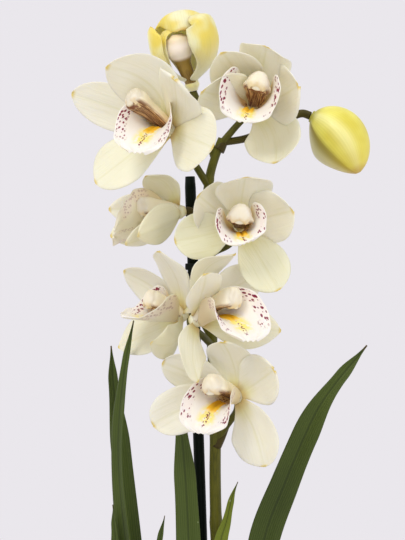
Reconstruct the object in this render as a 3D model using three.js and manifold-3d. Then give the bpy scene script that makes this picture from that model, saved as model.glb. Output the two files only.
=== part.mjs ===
// A potted orchid: a tall spike of seven cream blooms and two buds, tied to a stake,
// with strap leaves on four swollen shoots, in bark in a plain pot.
// Millimetres, +Z up. The origin is the centre of the pot's underside; -Y is the front.

import * as THREE from "three";
import { mergeVertices } from "three/addons/utils/BufferGeometryUtils.js";
import Module from "manifold-3d";

const wasm = await Module();
wasm.setup();

// ---- driving dimensions

const GAP = 0.3; // between pieces that touch
const POT = { height: 135, foot: 52, belly: 71, rim: 77, rimDeep: 17, wall: 2.6, floor: 4, sides: 30 };
const DRAIN = { count: 6, radius: 5, ring: 32 };
const MIX = { level: 118, chunks: 20, chunkSize: 11, seed: 7 };
const STAKE = { bottom: [8.5, 11, 70], top: [-7.6, 11, 563.5], width: 8.4 };
const TIE = { height: 495, tall: 5, wall: 1.4 };
const STEM = { foot: 4.6, tip: 3, pedicel: 2.6 };
const HUB = { radius: 5.6, back: 5, front: 4, clear: 11 }; // the knob where a bloom's tepals meet
const TEPAL = { thick: 1.1, rows: 5, cols: 4, root: 4.2, base: 0.24, widest: 0.56 };
const LIP = { thick: 1.1, rows: 6, cols: 6, foot: 5.2, drop: 4.2 };
const LEAF = { thick: 0.9, rows: 8, fold: 0.34 };

const COLOURS = {
  pot: 0x9a5a40, mix: 0x5a3c26, stake: 0x14260f, tie: 0x1c2a16, spike: 0x5d6420, leaf: 0x3f5a26,
  bloom: 0xece5cd, lip: 0xf6f1e6, openBud: 0xe6d678, closedBud: 0xdcdc70,
};

// ---- small helpers

const vec = (a) => new THREE.Vector3(a[0], a[1], a[2]);
const radians = THREE.MathUtils.degToRad;
const { lerp, clamp, smoothstep } = THREE.MathUtils;

// A seeded random number from 0 to 1.
function randomFrom(seed) {
  let state = seed;
  return () => {
    state = (state * 1664525 + 1013904223) % 4294967296;
    return state / 4294967296;
  };
}

// The value at u on a smooth line through [u, value] stations.
function along(stations, u) {
  let i = 1;
  while (i < stations.length - 1 && stations[i][0] < u) i++;
  const [u0, a] = stations[i - 1];
  const [u1, b] = stations[i];
  return lerp(a, b, smoothstep(u, u0, u1));
}

// Like along, but as one curve that doesn't level off at each station.
function flow(stations, u) {
  let i = 0;
  while (i < stations.length - 2 && stations[i + 1][0] < u) i++;
  const rise = (k) => (stations[k + 1][1] - stations[k][1]) / (stations[k + 1][0] - stations[k][0]);
  const steep = (k) => (rise(Math.max(k - 1, 0)) + rise(Math.min(k, stations.length - 2))) / 2;
  const [[u0, a], [u1, b]] = [stations[i], stations[i + 1]];
  const w = u1 - u0;
  const t = (u - u0) / w;
  const [m, n] = [steep(i) * w, steep(i + 1) * w];
  return a + m * t + (3 * (b - a) - 2 * m - n) * t * t + (2 * (a - b) + m + n) * t ** 3;
}

function geometryOf(points, triangles) {
  const geometry = new THREE.BufferGeometry().setFromPoints(points);
  geometry.setIndex(triangles);
  geometry.computeVertexNormals();
  return geometry;
}

// A geometry as a solid that can be joined and cut.
function solidOf(geometry) {
  const bare = geometry.clone();
  bare.deleteAttribute("normal");
  bare.deleteAttribute("uv");
  const merged = mergeVertices(bare, 1e-4);
  const vertProperties = merged.getAttribute("position").array;
  const triVerts = new Uint32Array(merged.index.array);
  return new wasm.Manifold(new wasm.Mesh({ numProp: 3, vertProperties, triVerts }));
}

function geometryFrom(solid) {
  const mesh = solid.getMesh();
  const geometry = new THREE.BufferGeometry();
  geometry.setAttribute("position", new THREE.Float32BufferAttribute(mesh.vertProperties, 3));
  geometry.setIndex(Array.from(mesh.triVerts));
  geometry.computeVertexNormals();
  return geometry;
}

const joined = (geometries) => geometries.map(solidOf).reduce((whole, part) => whole.add(part));
const largest = (solid) => solid.decompose().reduce((a, b) => (b.volume() > a.volume() ? b : a));
const fused = (geometries) => geometryFrom(largest(joined(geometries)));

function named(name, geometry, color, roughness = 0.6) {
  const material = new THREE.MeshStandardMaterial({ color, roughness, metalness: 0 });
  const mesh = new THREE.Mesh(geometry, material);
  mesh.name = name;
  return mesh;
}

// ---- a round rod along a curve, and a thin blade along a curve

// Rings of points around the curve; radius(u, angle) is the radius, side the way to each ring's first point.
function rod(curve, radius, rings, sides, side = vec([0, -1, 0.01])) {
  const points = [];
  const triangles = [];
  for (let i = 0; i <= rings; i++) {
    const u = i / rings;
    const centre = curve.getPoint(u);
    const tangent = curve.getTangent(u);
    const out = side.clone().addScaledVector(tangent, -side.dot(tangent)).normalize();
    const over = new THREE.Vector3().crossVectors(tangent, out);
    for (let k = 0; k < sides; k++) {
      const angle = (k / sides) * 2 * Math.PI;
      const r = radius(u, angle);
      const point = centre.clone().addScaledVector(out, r * Math.cos(angle));
      points.push(point.addScaledVector(over, r * Math.sin(angle)));
    }
  }
  const at = (i, k) => i * sides + (k % sides);
  for (let i = 0; i < rings; i++) {
    for (let k = 0; k < sides; k++) {
      triangles.push(at(i, k), at(i, k + 1), at(i + 1, k + 1), at(i, k), at(i + 1, k + 1), at(i + 1, k));
    }
  }
  points.push(curve.getPoint(0), curve.getPoint(1));
  const [first, last] = [points.length - 2, points.length - 1];
  for (let k = 0; k < sides; k++) {
    triangles.push(first, at(0, k + 1), at(0, k), last, at(rings, k), at(rings, k + 1));
  }
  return geometryOf(points, triangles);
}

// A closed sheet on a centreline: half(u) is its half width, cup(u) the half angle of its arched section,
// tall stretches that arch, keel is the depth of a fold along its middle, and side the direction across it.
function blade(spec) {
  const { centre, side, half, cup = () => 0, tall = 1, keel = 0, ripple = () => 0 } = spec;
  const { thick, rows, cols } = spec;
  const steps = (i) => 1 - (1 - i / rows) ** 1.35;
  const sheet = [];
  for (let i = 0; i <= rows; i++) {
    const u = steps(i);
    const tangent = centre(Math.min(u + 0.01, 1)).sub(centre(Math.max(u - 0.01, 0))).normalize();
    const across = side.clone().addScaledVector(tangent, -side.dot(tangent)).normalize();
    const face = new THREE.Vector3().crossVectors(across, tangent);
    const bend = cup(u);
    const row = [];
    for (let j = 0; j <= cols; j++) {
      const v = (2 * j) / cols - 1;
      const flat = Math.abs(bend) < 0.01;
      const over = half(u) * (flat ? v : Math.sin(bend * v) / bend);
      const arch = flat ? 0 : (tall * (1 - Math.cos(bend * v))) / bend;
      const up = half(u) * (arch + keel * Math.abs(v)) + ripple(u, v);
      row.push(centre(u).addScaledVector(across, over).addScaledVector(face, up));
    }
    sheet.push(row);
  }
  const pick = (i, j) => sheet[clamp(i, 0, rows)][clamp(j, 0, cols)];
  const front = [];
  const back = [];
  for (let i = 0; i <= rows; i++) {
    for (let j = 0; j <= cols; j++) {
      const right = pick(i, j + 1).clone().sub(pick(i, j - 1));
      const onward = pick(i + 1, j).clone().sub(pick(i - 1, j));
      const normal = right.cross(onward).normalize();
      front.push(sheet[i][j].clone().addScaledVector(normal, thick / 2));
      back.push(sheet[i][j].clone().addScaledVector(normal, -thick / 2));
    }
  }
  const count = front.length;
  const at = (i, j) => i * (cols + 1) + j;
  const triangles = [];
  for (let i = 0; i < rows; i++) {
    for (let j = 0; j < cols; j++) {
      const [a, b, c, d] = [at(i, j), at(i, j + 1), at(i + 1, j + 1), at(i + 1, j)];
      triangles.push(a, b, c, a, c, d);
      triangles.push(a + count, c + count, b + count, a + count, d + count, c + count);
    }
  }
  const rim = [];
  for (let j = 0; j < cols; j++) rim.push(at(0, j));
  for (let i = 0; i < rows; i++) rim.push(at(i, cols));
  for (let j = cols; j > 0; j--) rim.push(at(rows, j));
  for (let i = rows; i > 0; i--) rim.push(at(i, 0));
  rim.forEach((p, n) => {
    const q = rim[(n + 1) % rim.length];
    triangles.push(q, p, p + count, q, p + count, q + count);
  });
  return geometryOf([...front, ...back], triangles);
}

// ---- blooms

// A tepal's half width: narrow at the base and widest past the middle. Its tip is round, or pointed at point 1.
function tepalShape(u, point = 0) {
  const { base, widest } = TEPAL;
  if (u < widest) return base + (1 - base) * Math.sin((Math.PI / 2) * (u / widest)) ** 1.3;
  const end = (1 - ((u - widest) / (1 - widest)) ** (2.9 - 1.1 * point)) ** (0.52 + 0.33 * point);
  return Math.max(end, 0.07);
}

// The way a bloom faces: turned to the right and nodding down, in degrees; roll leans its top to the right.
function bloomAxes({ turn, nod = 0, roll = 0 }) {
  const [yaw, pitch] = [radians(turn), radians(nod)];
  const level = Math.cos(pitch);
  const facing = vec([level * Math.sin(yaw), -level * Math.cos(yaw), -Math.sin(pitch)]);
  const up = vec([0, 0, 1]).addScaledVector(facing, Math.sin(pitch)).normalize();
  up.applyAxisAngle(facing, -radians(roll));
  return { facing, up };
}

// A tepal from the hub to its tip. bow lifts its middle towards the bloom's front, sway bends it sideways,
// hump moves its middle, cup arches its section, keel folds it along its midrib, face is the way its own
// front looks, point sharpens its tip, and extra thickens it.
function tepal(facing, spec, extra = 0) {
  const { tip, wide, bow = 0, sway = 0, hump = [0, 0, 0], cup = 20, keel = 0, face, point = 0.1 } = spec;
  const end = vec(tip);
  const front = face ? vec(face).normalize() : facing;
  const outward = end.clone().addScaledVector(front, -end.dot(front)).normalize();
  const side = new THREE.Vector3().crossVectors(outward, front);
  const root = end.clone().addScaledVector(facing, -end.dot(facing)).setLength(TEPAL.root);
  const bulge = vec(hump).addScaledVector(front, bow).addScaledVector(side, sway);
  const centre = (u) => root.clone().lerp(end, u).addScaledVector(bulge, 4 * u * (1 - u));
  return blade({
    centre, side, keel, thick: TEPAL.thick + 2 * extra, rows: TEPAL.rows, cols: TEPAL.cols,
    half: (u) => (wide / 2) * tepalShape(u, point) + extra,
    cup: () => radians(cup),
  });
}

// The column: a round rod that arches forward over the lip and ends in a blunt cap.
function column(up, { tip, arch = 4, cap = 8 }, extra = 0) {
  const end = vec(tip);
  const middle = end.clone().multiplyScalar(0.5).addScaledVector(up, arch);
  const curve = new THREE.QuadraticBezierCurve3(vec([0, 0, 0]), middle, end);
  const radius = (u) => cap * along([[0, 0.62], [0.45, 0.74], [0.78, 1], [0.93, 0.86], [1, 0.4]], u) + extra;
  return rod(curve, radius, 5, 7, up);
}

// The lip: a trough that starts below the column, rises in two side lobes and ends in a broad round front.
// knee is where its middle turns, pace below 1 moves the lobes back, and hug is how far they wrap round.
function lip({ facing, up }, spec) {
  const { tip, knee, side, lobes = 29, front = 21, hug = 108, tall = 1, pace = 1, frill = 1 } = spec;
  const end = vec(tip);
  const foot = facing.clone().multiplyScalar(LIP.foot).addScaledVector(up, -LIP.drop);
  const turn = knee ? vec(knee) : foot.clone().addScaledVector(facing, 24);
  const curve = new THREE.QuadraticBezierCurve3(foot, turn, end);
  const outward = end.clone().addScaledVector(facing, -end.dot(facing)).normalize();
  const down = outward.lerp(up.clone().negate(), 0.5).normalize();
  const halves = [
    [0, 6], [0.15, lobes * 0.7], [0.32, lobes * 0.95], [0.48, lobes], [0.64, lobes * 0.9], [0.8, front],
    [0.92, front * 0.8], [1, front * 0.3],
  ];
  const waves = (u, v) => frill * Math.sin(9 * u + 4 * v) * Math.abs(v) ** 3 * smoothstep(u, 0.3, 0.7);
  const cups = [[0, 70], [0.15, hug], [0.48, hug * 0.94], [0.64, hug * 0.66], [0.8, 42], [0.92, 26], [1, 14]];
  return blade({
    centre: (u) => curve.getPoint(u), side: side ? vec(side) : new THREE.Vector3().crossVectors(down, facing),
    half: (u) => flow(halves, u ** pace), cup: (u) => radians(flow(cups, u ** pace)), tall,
    ripple: (u, v) => waves(u ** pace, v),
    thick: LIP.thick, rows: LIP.rows, cols: LIP.cols,
  });
}

const BLOOMS = [
  {
    name: "bloom_1", at: [-21, -45, 592], turn: -48, nod: 3, roll: -10,
    tepals: [
      { tip: [-43, -24, 40], wide: 43, bow: -8, sway: 9, cup: 24, face: [-0.3, -0.9, -0.3] },
      { tip: [-71, 10, 27], wide: 34, bow: -4, cup: 16, point: 0.25 },
      { tip: [4, -48, 27], wide: 43, bow: -3, cup: 14, face: [-0.7, -0.4, -0.6] },
      { tip: [-54, 8, -37], wide: 40, bow: 3, cup: 14, point: 0.35 },
      { tip: [30, -44, -18], wide: 46, bow: 2, cup: 14, face: [-0.45, -0.85, 0.1] },
    ],
    column: { tip: [-28, -19, 21] },
    lip: { tip: [-22, -35, -20.5], knee: [-14, -8, 6], side: [-0.95, 0.12, 0.05], turn: -40 },
    pedicel: [[6, 0, 556], [-6, -18, 574]],
  },
  {
    name: "bloom_2", at: [40, -15, 613], turn: -15, nod: 2, roll: 16,
    tepals: [
      { tip: [7, -33, 37], wide: 42, hump: [2, 3, 8], cup: 26 },
      { tip: [-24, -34, 33], wide: 40, bow: -8, cup: 26 },
      { tip: [29, -37, 9], wide: 45, bow: -9, cup: 30 },
      { tip: [-38, -32, 6], wide: 45, bow: -2, cup: 16, face: [-0.5, -0.8, -0.2] },
      { tip: [14, -20, -44], wide: 44, bow: -4, sway: -5, cup: 24 },
    ],
    column: { tip: [1.5, -31, 14], cap: 8.4 },
    lip: { tip: [-9, -37, -17], turn: -10, lobes: 31, tall: 1.35 },
    pedicel: [[15, 0, 586], [29, -3, 602]],
  },
  {
    name: "bloom_3", at: [-16, -3, 536], turn: -70, nod: 10, roll: 0,
    tepals: [
      { tip: [-24, -10, 26], wide: 36, bow: -7, cup: 24, face: [-0.52, -0.53, -0.67] },
      { tip: [-54, 20, 3], wide: 27, bow: -4, cup: 16, point: 0.6 },
      { tip: [-28, -42, -19], wide: 30, bow: -6, cup: 10, keel: 0.25, point: 0.7 },
      { tip: [-52, 12, -18], wide: 28, bow: -2, cup: 16, point: 0.6 },
      { tip: [-38, -27, -25], wide: 32, bow: -4, cup: 20, point: 0.8 },
    ],
    column: { tip: [-30, -9, 2] },
    lip: { tip: [-47, -16, -17], turn: -100, lobes: 27, front: 18, hug: 70, tall: 1.25 },
    pedicel: [[5, 0, 530], [-1, -1, 535]],
  },
  {
    name: "bloom_4", at: [29, -30, 524], turn: 12, nod: 5, roll: 6,
    tepals: [
      { tip: [3, -30, 33], wide: 43, hump: [0, 3, 7], cup: 26 },
      { tip: [-30, -24, 21], wide: 38, bow: -8, cup: 20 },
      { tip: [36, -26, 10], wide: 40, bow: -6, cup: 20 },
      { tip: [-47, -12, -11], wide: 34, bow: 3, cup: 14, point: 0.3 },
      { tip: [27, -12, -46], wide: 36, bow: 3, cup: 14, point: 0.3 },
    ],
    column: { tip: [-1, -31, 7] },
    lip: { tip: [3, -33, -13], turn: 0, roll: 0, lobes: 26, front: 18, tall: 1.2 },
    pedicel: [[4.8, 0, 501], [11, -4, 506], [21, -8, 511]],
  },
  {
    name: "bloom_5", at: [-14, -6, 459], turn: -68, nod: 0, roll: 0,
    tepals: [
      { tip: [-16, -30, 47], wide: 34, bow: -5, cup: 16, face: [-0.65, -0.52, -0.55], point: 0.7 },
      { tip: [-44, 15, 33], wide: 32, bow: -4, cup: 16, point: 0.3 },
      { tip: [8, -24, 22], wide: 24, bow: -3, cup: 20 },
      { tip: [-48, 13, -25], wide: 34, bow: 0, cup: 14, point: 0.8 },
      { tip: [-21, -38, -18], wide: 26, hump: [4, -2, -8], cup: 18, face: [-0.9, 0.42, 0.13], point: 0.9 },
    ],
    column: { tip: [-26, -11, 12] },
    lip: {
      tip: [-43, -18, 0], knee: [-20, -10, -5], side: [-0.35, 0.9, 0.22],
      lobes: 26, front: 16, hug: 112, tall: 1.3, pace: 0.66,
    },
    pedicel: [[8, 0, 443], [1, -2, 454]],
  },
  {
    name: "bloom_6", at: [-2, -42, 457], turn: 52, nod: 2, roll: 0,
    tepals: [
      { tip: [27, -10, 46], wide: 38, bow: -13, sway: -2, cup: 24, face: [0.62, -0.4, -0.66], point: 0.8 },
      { tip: [6, -36, 33], wide: 30, bow: -2, sway: 3, cup: 10, face: [0.45, -0.88, 0.05], point: 0.5 },
      { tip: [46, 15, 34], wide: 36, bow: -4, cup: 16 },
      { tip: [1, -16, -42.5], wide: 32, bow: 2, sway: 9, cup: 14, point: 1 },
      { tip: [60, 4, -8], wide: 33, bow: 0, cup: 14, point: 0.9 },
    ],
    column: { tip: [30, -15, 15], arch: 10, cap: 8.4 },
    lip: { tip: [36, -33, -13], knee: [27, -6, 11], side: [-0.75, -0.6, -0.25], turn: 40, lobes: 28 },
    pedicel: [[9, 0, 436], [2, -16, 444], [-6, -29, 452]],
  },
  {
    name: "bloom_7", at: [26, -35, 402], turn: -32, nod: 8, roll: -4,
    tepals: [
      { tip: [-10, -17, 40], wide: 41, bow: -7, cup: 14 },
      { tip: [-53, 4, 24], wide: 30, bow: -3, cup: 14 },
      { tip: [25, -33, 22], wide: 38, bow: -3, cup: 16 },
      { tip: [-60, 2, -21], wide: 34, bow: 2, sway: 4, cup: 14 },
      { tip: [19, -20, -47], wide: 38, bow: 2, sway: -4, cup: 16 },
    ],
    column: { tip: [-20, -28, 11], cap: 8.2 },
    lip: { tip: [-25, -32, -22], knee: [-19, -18, 0], turn: -26, lobes: 26, front: 20 },
    pedicel: [[11.3, 0, 364], [20, -6, 377], [27, -16, 389]],
  },
];

// The knob at the middle of a bloom or bud: flat behind, where its stalk ends a gap short of it.
function hub(forward, extra = 0) {
  const { radius, back, front } = HUB;
  const [rear, nose] = [-back, front].map((distance) => forward.clone().multiplyScalar(distance));
  const swell = (u) => radius * along([[0, 0.66], [0.5, 1], [1, 0.7]], u) + extra;
  return rod(new THREE.LineCurve3(rear, nose), swell, 2, 7, vec([0.01, 0, 1]));
}

// A bloom's cream tepals and column, and its white lip, kept clear of them. The lip may look its own way.
function bloom(spec) {
  const { facing, up } = bloomAxes(spec);
  const parts = (extra) => [
    hub(facing, extra), ...spec.tepals.map((t) => tepal(facing, t, extra)), column(up, spec.column, extra),
  ];
  const flower = named(spec.name, fused(parts(0)), COLOURS.bloom);
  const clear = solidOf(lip(bloomAxes({ ...spec, ...spec.lip }), spec.lip)).subtract(joined(parts(GAP)));
  const lobe = named(spec.name + "_lip", geometryFrom(largest(clear)), COLOURS.lip);
  [flower, lobe].forEach((mesh) => mesh.position.fromArray(spec.at));
  return [flower, lobe];
}

// ---- buds

const SLIM = [[0, 0], [0.45, 0.52], [0.75, 0.84], [1, 1]];
const OPEN_BUD = {
  name: "opening_bud", at: [-6, 6, 633], axis: [-0.19, -0.3, 1], length: 54, core: 11, lean: [-5, -7, 0],
  tepals: [
    {
      clock: 180, long: 1, girth: 20, wide: 46, cup: 54, reach: [0.7, 1, 0.62, -0.12, -0.72],
      rise: [[0, 0], [0.45, 0.6], [0.68, 0.96], [0.84, 1], [1, 0.77]],
    },
    { clock: -82, long: 0.88, girth: 25, wide: 36, cup: 44, reach: [0.7, 1, 1.04, 1, 0.92], rise: SLIM },
    { clock: 62, long: 0.93, girth: 25, wide: 50, cup: 58, reach: [0.7, 1, 0.97, 0.75, 0.3] },
    { clock: -84, long: 0.8, girth: 19, wide: 26, cup: 40, reach: [0.7, 1, 0.95, 0.6, 0.1] },
    { clock: 74, long: 0.8, girth: 18, wide: 28, cup: 40, reach: [0.7, 1, 0.95, 0.65, 0.1] },
  ],
};
const CLOSED_BUD = {
  name: "closed_bud", from: [84, 2.95, 608.2], bend: [106, -2, 596], to: [118, -4, 565],
  girth: 21.5, ridge: 1.6,
};

const RISE = [[0, 0], [0.5, 0.58], [0.78, 0.94], [0.92, 1], [1, 0.98]];

// A tepal of the opening bud: out from the base, up around the inside and in again at the tip. clock is its
// place round the bud, reach how far out its middle lies at five places, as shares of the girth, and rise its
// height there.
function budTepal(axis, front, { clock, long, girth, wide, cup, reach, rise = RISE }) {
  const outward = front.clone().applyAxisAngle(axis, radians(clock));
  const bulge = [0, 0.2, 0.45, 0.7, 0.88, 1].map((u, n) => [u, n ? reach[n - 1] : 0]);
  const height = (u) => OPEN_BUD.length * long * flow(rise, u);
  return blade({
    centre: (u) => outward.clone().multiplyScalar(girth * flow(bulge, u)).addScaledVector(axis, height(u)),
    side: new THREE.Vector3().crossVectors(outward, axis), thick: TEPAL.thick, rows: 5, cols: 3,
    half: (u) => (wide / 2) * tepalShape(u), cup: () => radians(cup),
  });
}

function openingBud() {
  const axis = vec(OPEN_BUD.axis).normalize();
  const front = vec([0, -1, 0]).addScaledVector(axis, axis.y).normalize();
  const [middle, top] = [17, 36].map((height) => vec(OPEN_BUD.lean).addScaledVector(axis, height));
  const curve = new THREE.QuadraticBezierCurve3(vec([0, 0, 0]), middle, top);
  const swell = [[0, 0.4], [0.4, 0.5], [0.72, 1], [0.92, 0.8], [1, 0.35]];
  const core = rod(curve, (u) => OPEN_BUD.core * along(swell, u), 5, 7);
  const tepals = OPEN_BUD.tepals.map((spec) => budTepal(axis, front, spec));
  const mesh = named(OPEN_BUD.name, fused([hub(axis), core, ...tepals]), COLOURS.openBud);
  mesh.position.fromArray(OPEN_BUD.at);
  return mesh;
}

// The closed bud: an egg whose three outer tepals meet in low ridges that run to its tip.
function closedBud() {
  const { from, bend, to, girth, ridge } = CLOSED_BUD;
  const curve = new THREE.QuadraticBezierCurve3(vec(from), vec(bend), vec(to));
  const belly = (u) => girth * Math.sin(Math.PI * clamp(u, 0.02, 0.985)) ** 0.56;
  const crest = (u, angle) => Math.max(0, Math.cos(3 * angle)) ** 3 * Math.sin(Math.PI * u);
  const egg = rod(curve, (u, angle) => belly(u) + ridge * crest(u, angle), 9, 12);
  return named(CLOSED_BUD.name, egg, COLOURS.closedBud);
}

// ---- the flower spike

const RACHIS = [
  [18, 0, 84], [17.6, 0, 124], [15.5, 0, 200], [12, 0, 300], [11.3, 0, 340], [11.4, 0, 366], [10.6, 0, 400],
  [9, 0, 437], [6, 0, 480], [4.2, 0, 520], [5.4, 0, 548], [8, 0, 566], [13, 0, 582], [16.5, 0, 591],
];
const BUD_STALKS = [
  [[11, 0, 575], [5, 3, 598], [0, 6, 614], [-5.6, 8, 628.4]],
  [[16, 0, 588], [36, 3, 592], [60, 5, 603], [76.5, 4.7, 610.6], [83.3, 3.1, 608.6]],
];

const curveThrough = (points) => new THREE.CatmullRomCurve3(points.map(vec));

// A bloom's stalk runs from the stem to the back of its hub.
function pedicel(spec) {
  const { facing } = bloomAxes(spec);
  const back = vec(spec.at).addScaledVector(facing, 1 - HUB.back);
  const curve = new THREE.CatmullRomCurve3([...spec.pedicel.map(vec), back]);
  return rod(curve, (u) => STEM.pedicel * along([[0, 1.05], [0.6, 0.95], [0.9, 1.25], [1, 1.1]], u), 4, 6);
}

// The room a bloom or bud takes behind its hub: a stalk is cut flat against it, a gap short of the hub.
function hubRoom(at, forward) {
  const from = vec(at).addScaledVector(forward, -HUB.back - GAP);
  const line = new THREE.LineCurve3(from, from.clone().addScaledVector(forward, 12));
  return rod(line, () => HUB.clear, 1, 6, vec([0.01, 0, 1]));
}

// A small pointed scale on the stem, where a stalk leaves it.
function bract(from, to) {
  return rod(new THREE.LineCurve3(vec(from), vec(to)), (u) => lerp(4.4, 0.7, u ** 1.6), 2, 5);
}

const BRACTS = [
  [[11.5, 0, 360], [24, -1, 383]], [[5, 0, 504], [14, -2, 514]], [[4.6, 0, 524], [-4, -1, 540]],
  [[14, 0, 582], [22, 1, 596]], [[14, 0, 236], [20, -3, 262]],
];

function flowerSpike() {
  const stem = rod(curveThrough(RACHIS), (u) => lerp(STEM.foot, STEM.tip, u ** 1.4), 16, 7);
  const stalks = BUD_STALKS.map((path) => {
    return rod(curveThrough(path), (u) => STEM.pedicel * lerp(1.05, 1.2, u), 5, 6);
  });
  const bracts = BRACTS.map(([from, to]) => bract(from, to));
  const rooms = BLOOMS.map((spec) => hubRoom(spec.at, bloomAxes(spec).facing));
  rooms.push(hubRoom(OPEN_BUD.at, vec(OPEN_BUD.axis).normalize()));
  const whole = joined([stem, ...stalks, ...BLOOMS.map(pedicel), ...bracts]);
  return named("flower_spike", geometryFrom(largest(whole.subtract(joined(rooms)))), COLOURS.spike);
}

// ---- stake and tie

function stake() {
  const line = new THREE.LineCurve3(vec(STAKE.bottom), vec(STAKE.top));
  return named("stake", rod(line, () => STAKE.width / 2, 1, 10), COLOURS.stake, 0.5);
}

// A band round the stake and the stem.
function tie() {
  const share = (TIE.height - STAKE.bottom[2]) / (STAKE.top[2] - STAKE.bottom[2]);
  const post = vec(STAKE.bottom).lerp(vec(STAKE.top), share);
  const stem = vec([5.1, 0, TIE.height]);
  const loop = (radius) => {
    const towards = Math.atan2(stem.y - post.y, stem.x - post.x);
    const outline = new THREE.Shape();
    outline.absarc(post.x, post.y, radius, towards + Math.PI / 2, towards - Math.PI / 2);
    outline.absarc(stem.x, stem.y, radius, towards - Math.PI / 2, towards + Math.PI / 2);
    return outline;
  };
  const inner = STAKE.width / 2 + 0.35;
  const outline = loop(inner + TIE.wall);
  outline.holes.push(new THREE.Path(loop(inner).getPoints(6)));
  const band = new THREE.ExtrudeGeometry(outline, { depth: TIE.tall, bevelEnabled: false, curveSegments: 6 });
  const mesh = named("tie", band, COLOURS.tie);
  mesh.position.z = TIE.height - TIE.tall / 2;
  return mesh;
}

// ---- shoots: a swollen bulb and its strap leaves

const SHOOTS = [
  {
    name: "shoot_left", at: [-36, -4], bulb: 17, tall: 74,
    leaves: [
      {
        path: [
          [-34, -6, 165], [-44, -10, 230], [-55, -12, 297], [-60, -11, 362], [-56, -10, 415],
          [-49.2, -8, 455],
        ],
        wide: 15, side: [0.72, -0.69, 0],
      },
      {
        path: [[-38, 0, 165], [-46, 6, 225], [-54, 10, 288], [-61, 11, 360], [-66, 10, 406], [-67.5, 9, 435]],
        wide: 18, side: [0.95, 0.3, 0],
      },
      {
        path: [[-40, -8, 165], [-52, -14, 225], [-60, -16, 280], [-64, -16, 320]],
        wide: 13, side: [0.8, -0.6, 0],
      },
      {
        path: [[-42, -4, 160], [-74, -10, 225], [-120, -22, 262], [-172, -36, 250], [-216, -48, 205]],
        wide: 20, side: [0.25, 1, 0],
      },
      {
        path: [[-40, 2, 160], [-66, 28, 222], [-100, 66, 252], [-136, 108, 232], [-160, 140, 190]],
        wide: 19, side: [0.75, 0.6, 0],
      },
    ],
  },
  {
    name: "shoot_front", at: [-3, -33], bulb: 16, tall: 68,
    leaves: [
      {
        path: [
          [-4, -30, 160], [-6, -22, 220], [-8.2, -12, 291], [-10.6, -8, 336], [-13.6, -7, 373],
          [-16, -6, 405],
        ],
        wide: 19, side: [1, -0.1, 0],
      },
      {
        path: [
          [2, -34, 160], [7, -26, 225], [15.2, -14, 293], [19.3, -12, 306], [24, -12, 326],
          [28, -12, 336],
        ],
        wide: 12, side: [0.95, 0.1, -0.3],
      },
      {
        path: [[-8, -34, 160], [-20, -26, 225], [-30, -16, 285], [-26, -12, 311]],
        wide: 11, side: [0.95, -0.3, 0],
      },
      {
        path: [[0, -38, 160], [10, -62, 212], [26, -104, 236], [46, -150, 214], [60, -182, 176]],
        wide: 18, side: [1, 0.3, 0],
      },
    ],
  },
  {
    name: "shoot_right", at: [42, 5], bulb: 17, tall: 72,
    leaves: [
      {
        path: [
          [40, 5, 165], [42, 2, 230], [48, 0, 290], [63.8, 0, 333], [78, 0, 367], [89.3, 0, 390],
          [103.5, 0, 410],
          [125.3, 0, 436],
        ],
        wide: 23, side: [0.94, -0.1, -0.3],
      },
      {
        path: [[46, 8, 160], [72, 16, 218], [112, 26, 256], [160, 36, 250], [206, 44, 206]],
        wide: 20, side: [-0.2, 1, 0],
      },
      {
        path: [[44, 0, 160], [66, -22, 212], [98, -54, 244], [136, -90, 232], [164, -118, 192]],
        wide: 19, side: [0.7, 0.7, 0],
      },
    ],
  },
  {
    name: "shoot_back", at: [-4, 41], bulb: 16, tall: 66,
    leaves: [
      {
        path: [[-2, 44, 158], [4, 66, 208], [16, 104, 238], [32, 150, 222], [42, 186, 178]],
        wide: 19, side: [1, -0.3, 0],
      },
      {
        path: [[2, 42, 158], [24, 58, 212], [58, 82, 240], [98, 108, 222], [126, 126, 184]],
        wide: 19, side: [0.6, -0.8, 0],
      },
      {
        path: [[-8, 44, 158], [-18, 70, 206], [-34, 108, 230], [-52, 150, 208], [-62, 178, 170]],
        wide: 18, side: [1, 0.3, 0],
      },
    ],
  },
];

// A strap leaf: long, folded along its midrib, tapering to a point.
function leaf({ path, wide, side }) {
  const curve = curveThrough(path);
  return blade({
    centre: (u) => curve.getPointAt(u), side: vec(side),
    keel: LEAF.fold, thick: LEAF.thick, rows: LEAF.rows, cols: 2,
    half: (u) => (wide / 2) * along([[0, 0.62], [0.45, 1], [0.72, 0.86], [0.9, 0.42], [1, 0.07]], u),
  });
}

function shoot({ name, at, bulb, tall, leaves }) {
  const bottom = vec([at[0], at[1], MIX.level - 18]);
  const body = rod(new THREE.LineCurve3(bottom, bottom.clone().setZ(bottom.z + tall)),
    (u) => bulb * along([[0, 0.45], [0.25, 0.92], [0.4, 1], [0.75, 0.72], [1, 0.4]], u), 6, 10);
  return named(name, fused([body, ...leaves.map(leaf)]), COLOURS.leaf);
}

// ---- pot and bark

// A profile of [radius, height] points turned about the upright axis.
function turned(profile, sides) {
  const points = profile.map(([x, z]) => new THREE.Vector2(x, z));
  return new THREE.LatheGeometry(points, sides).rotateX(Math.PI / 2);
}

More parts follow.
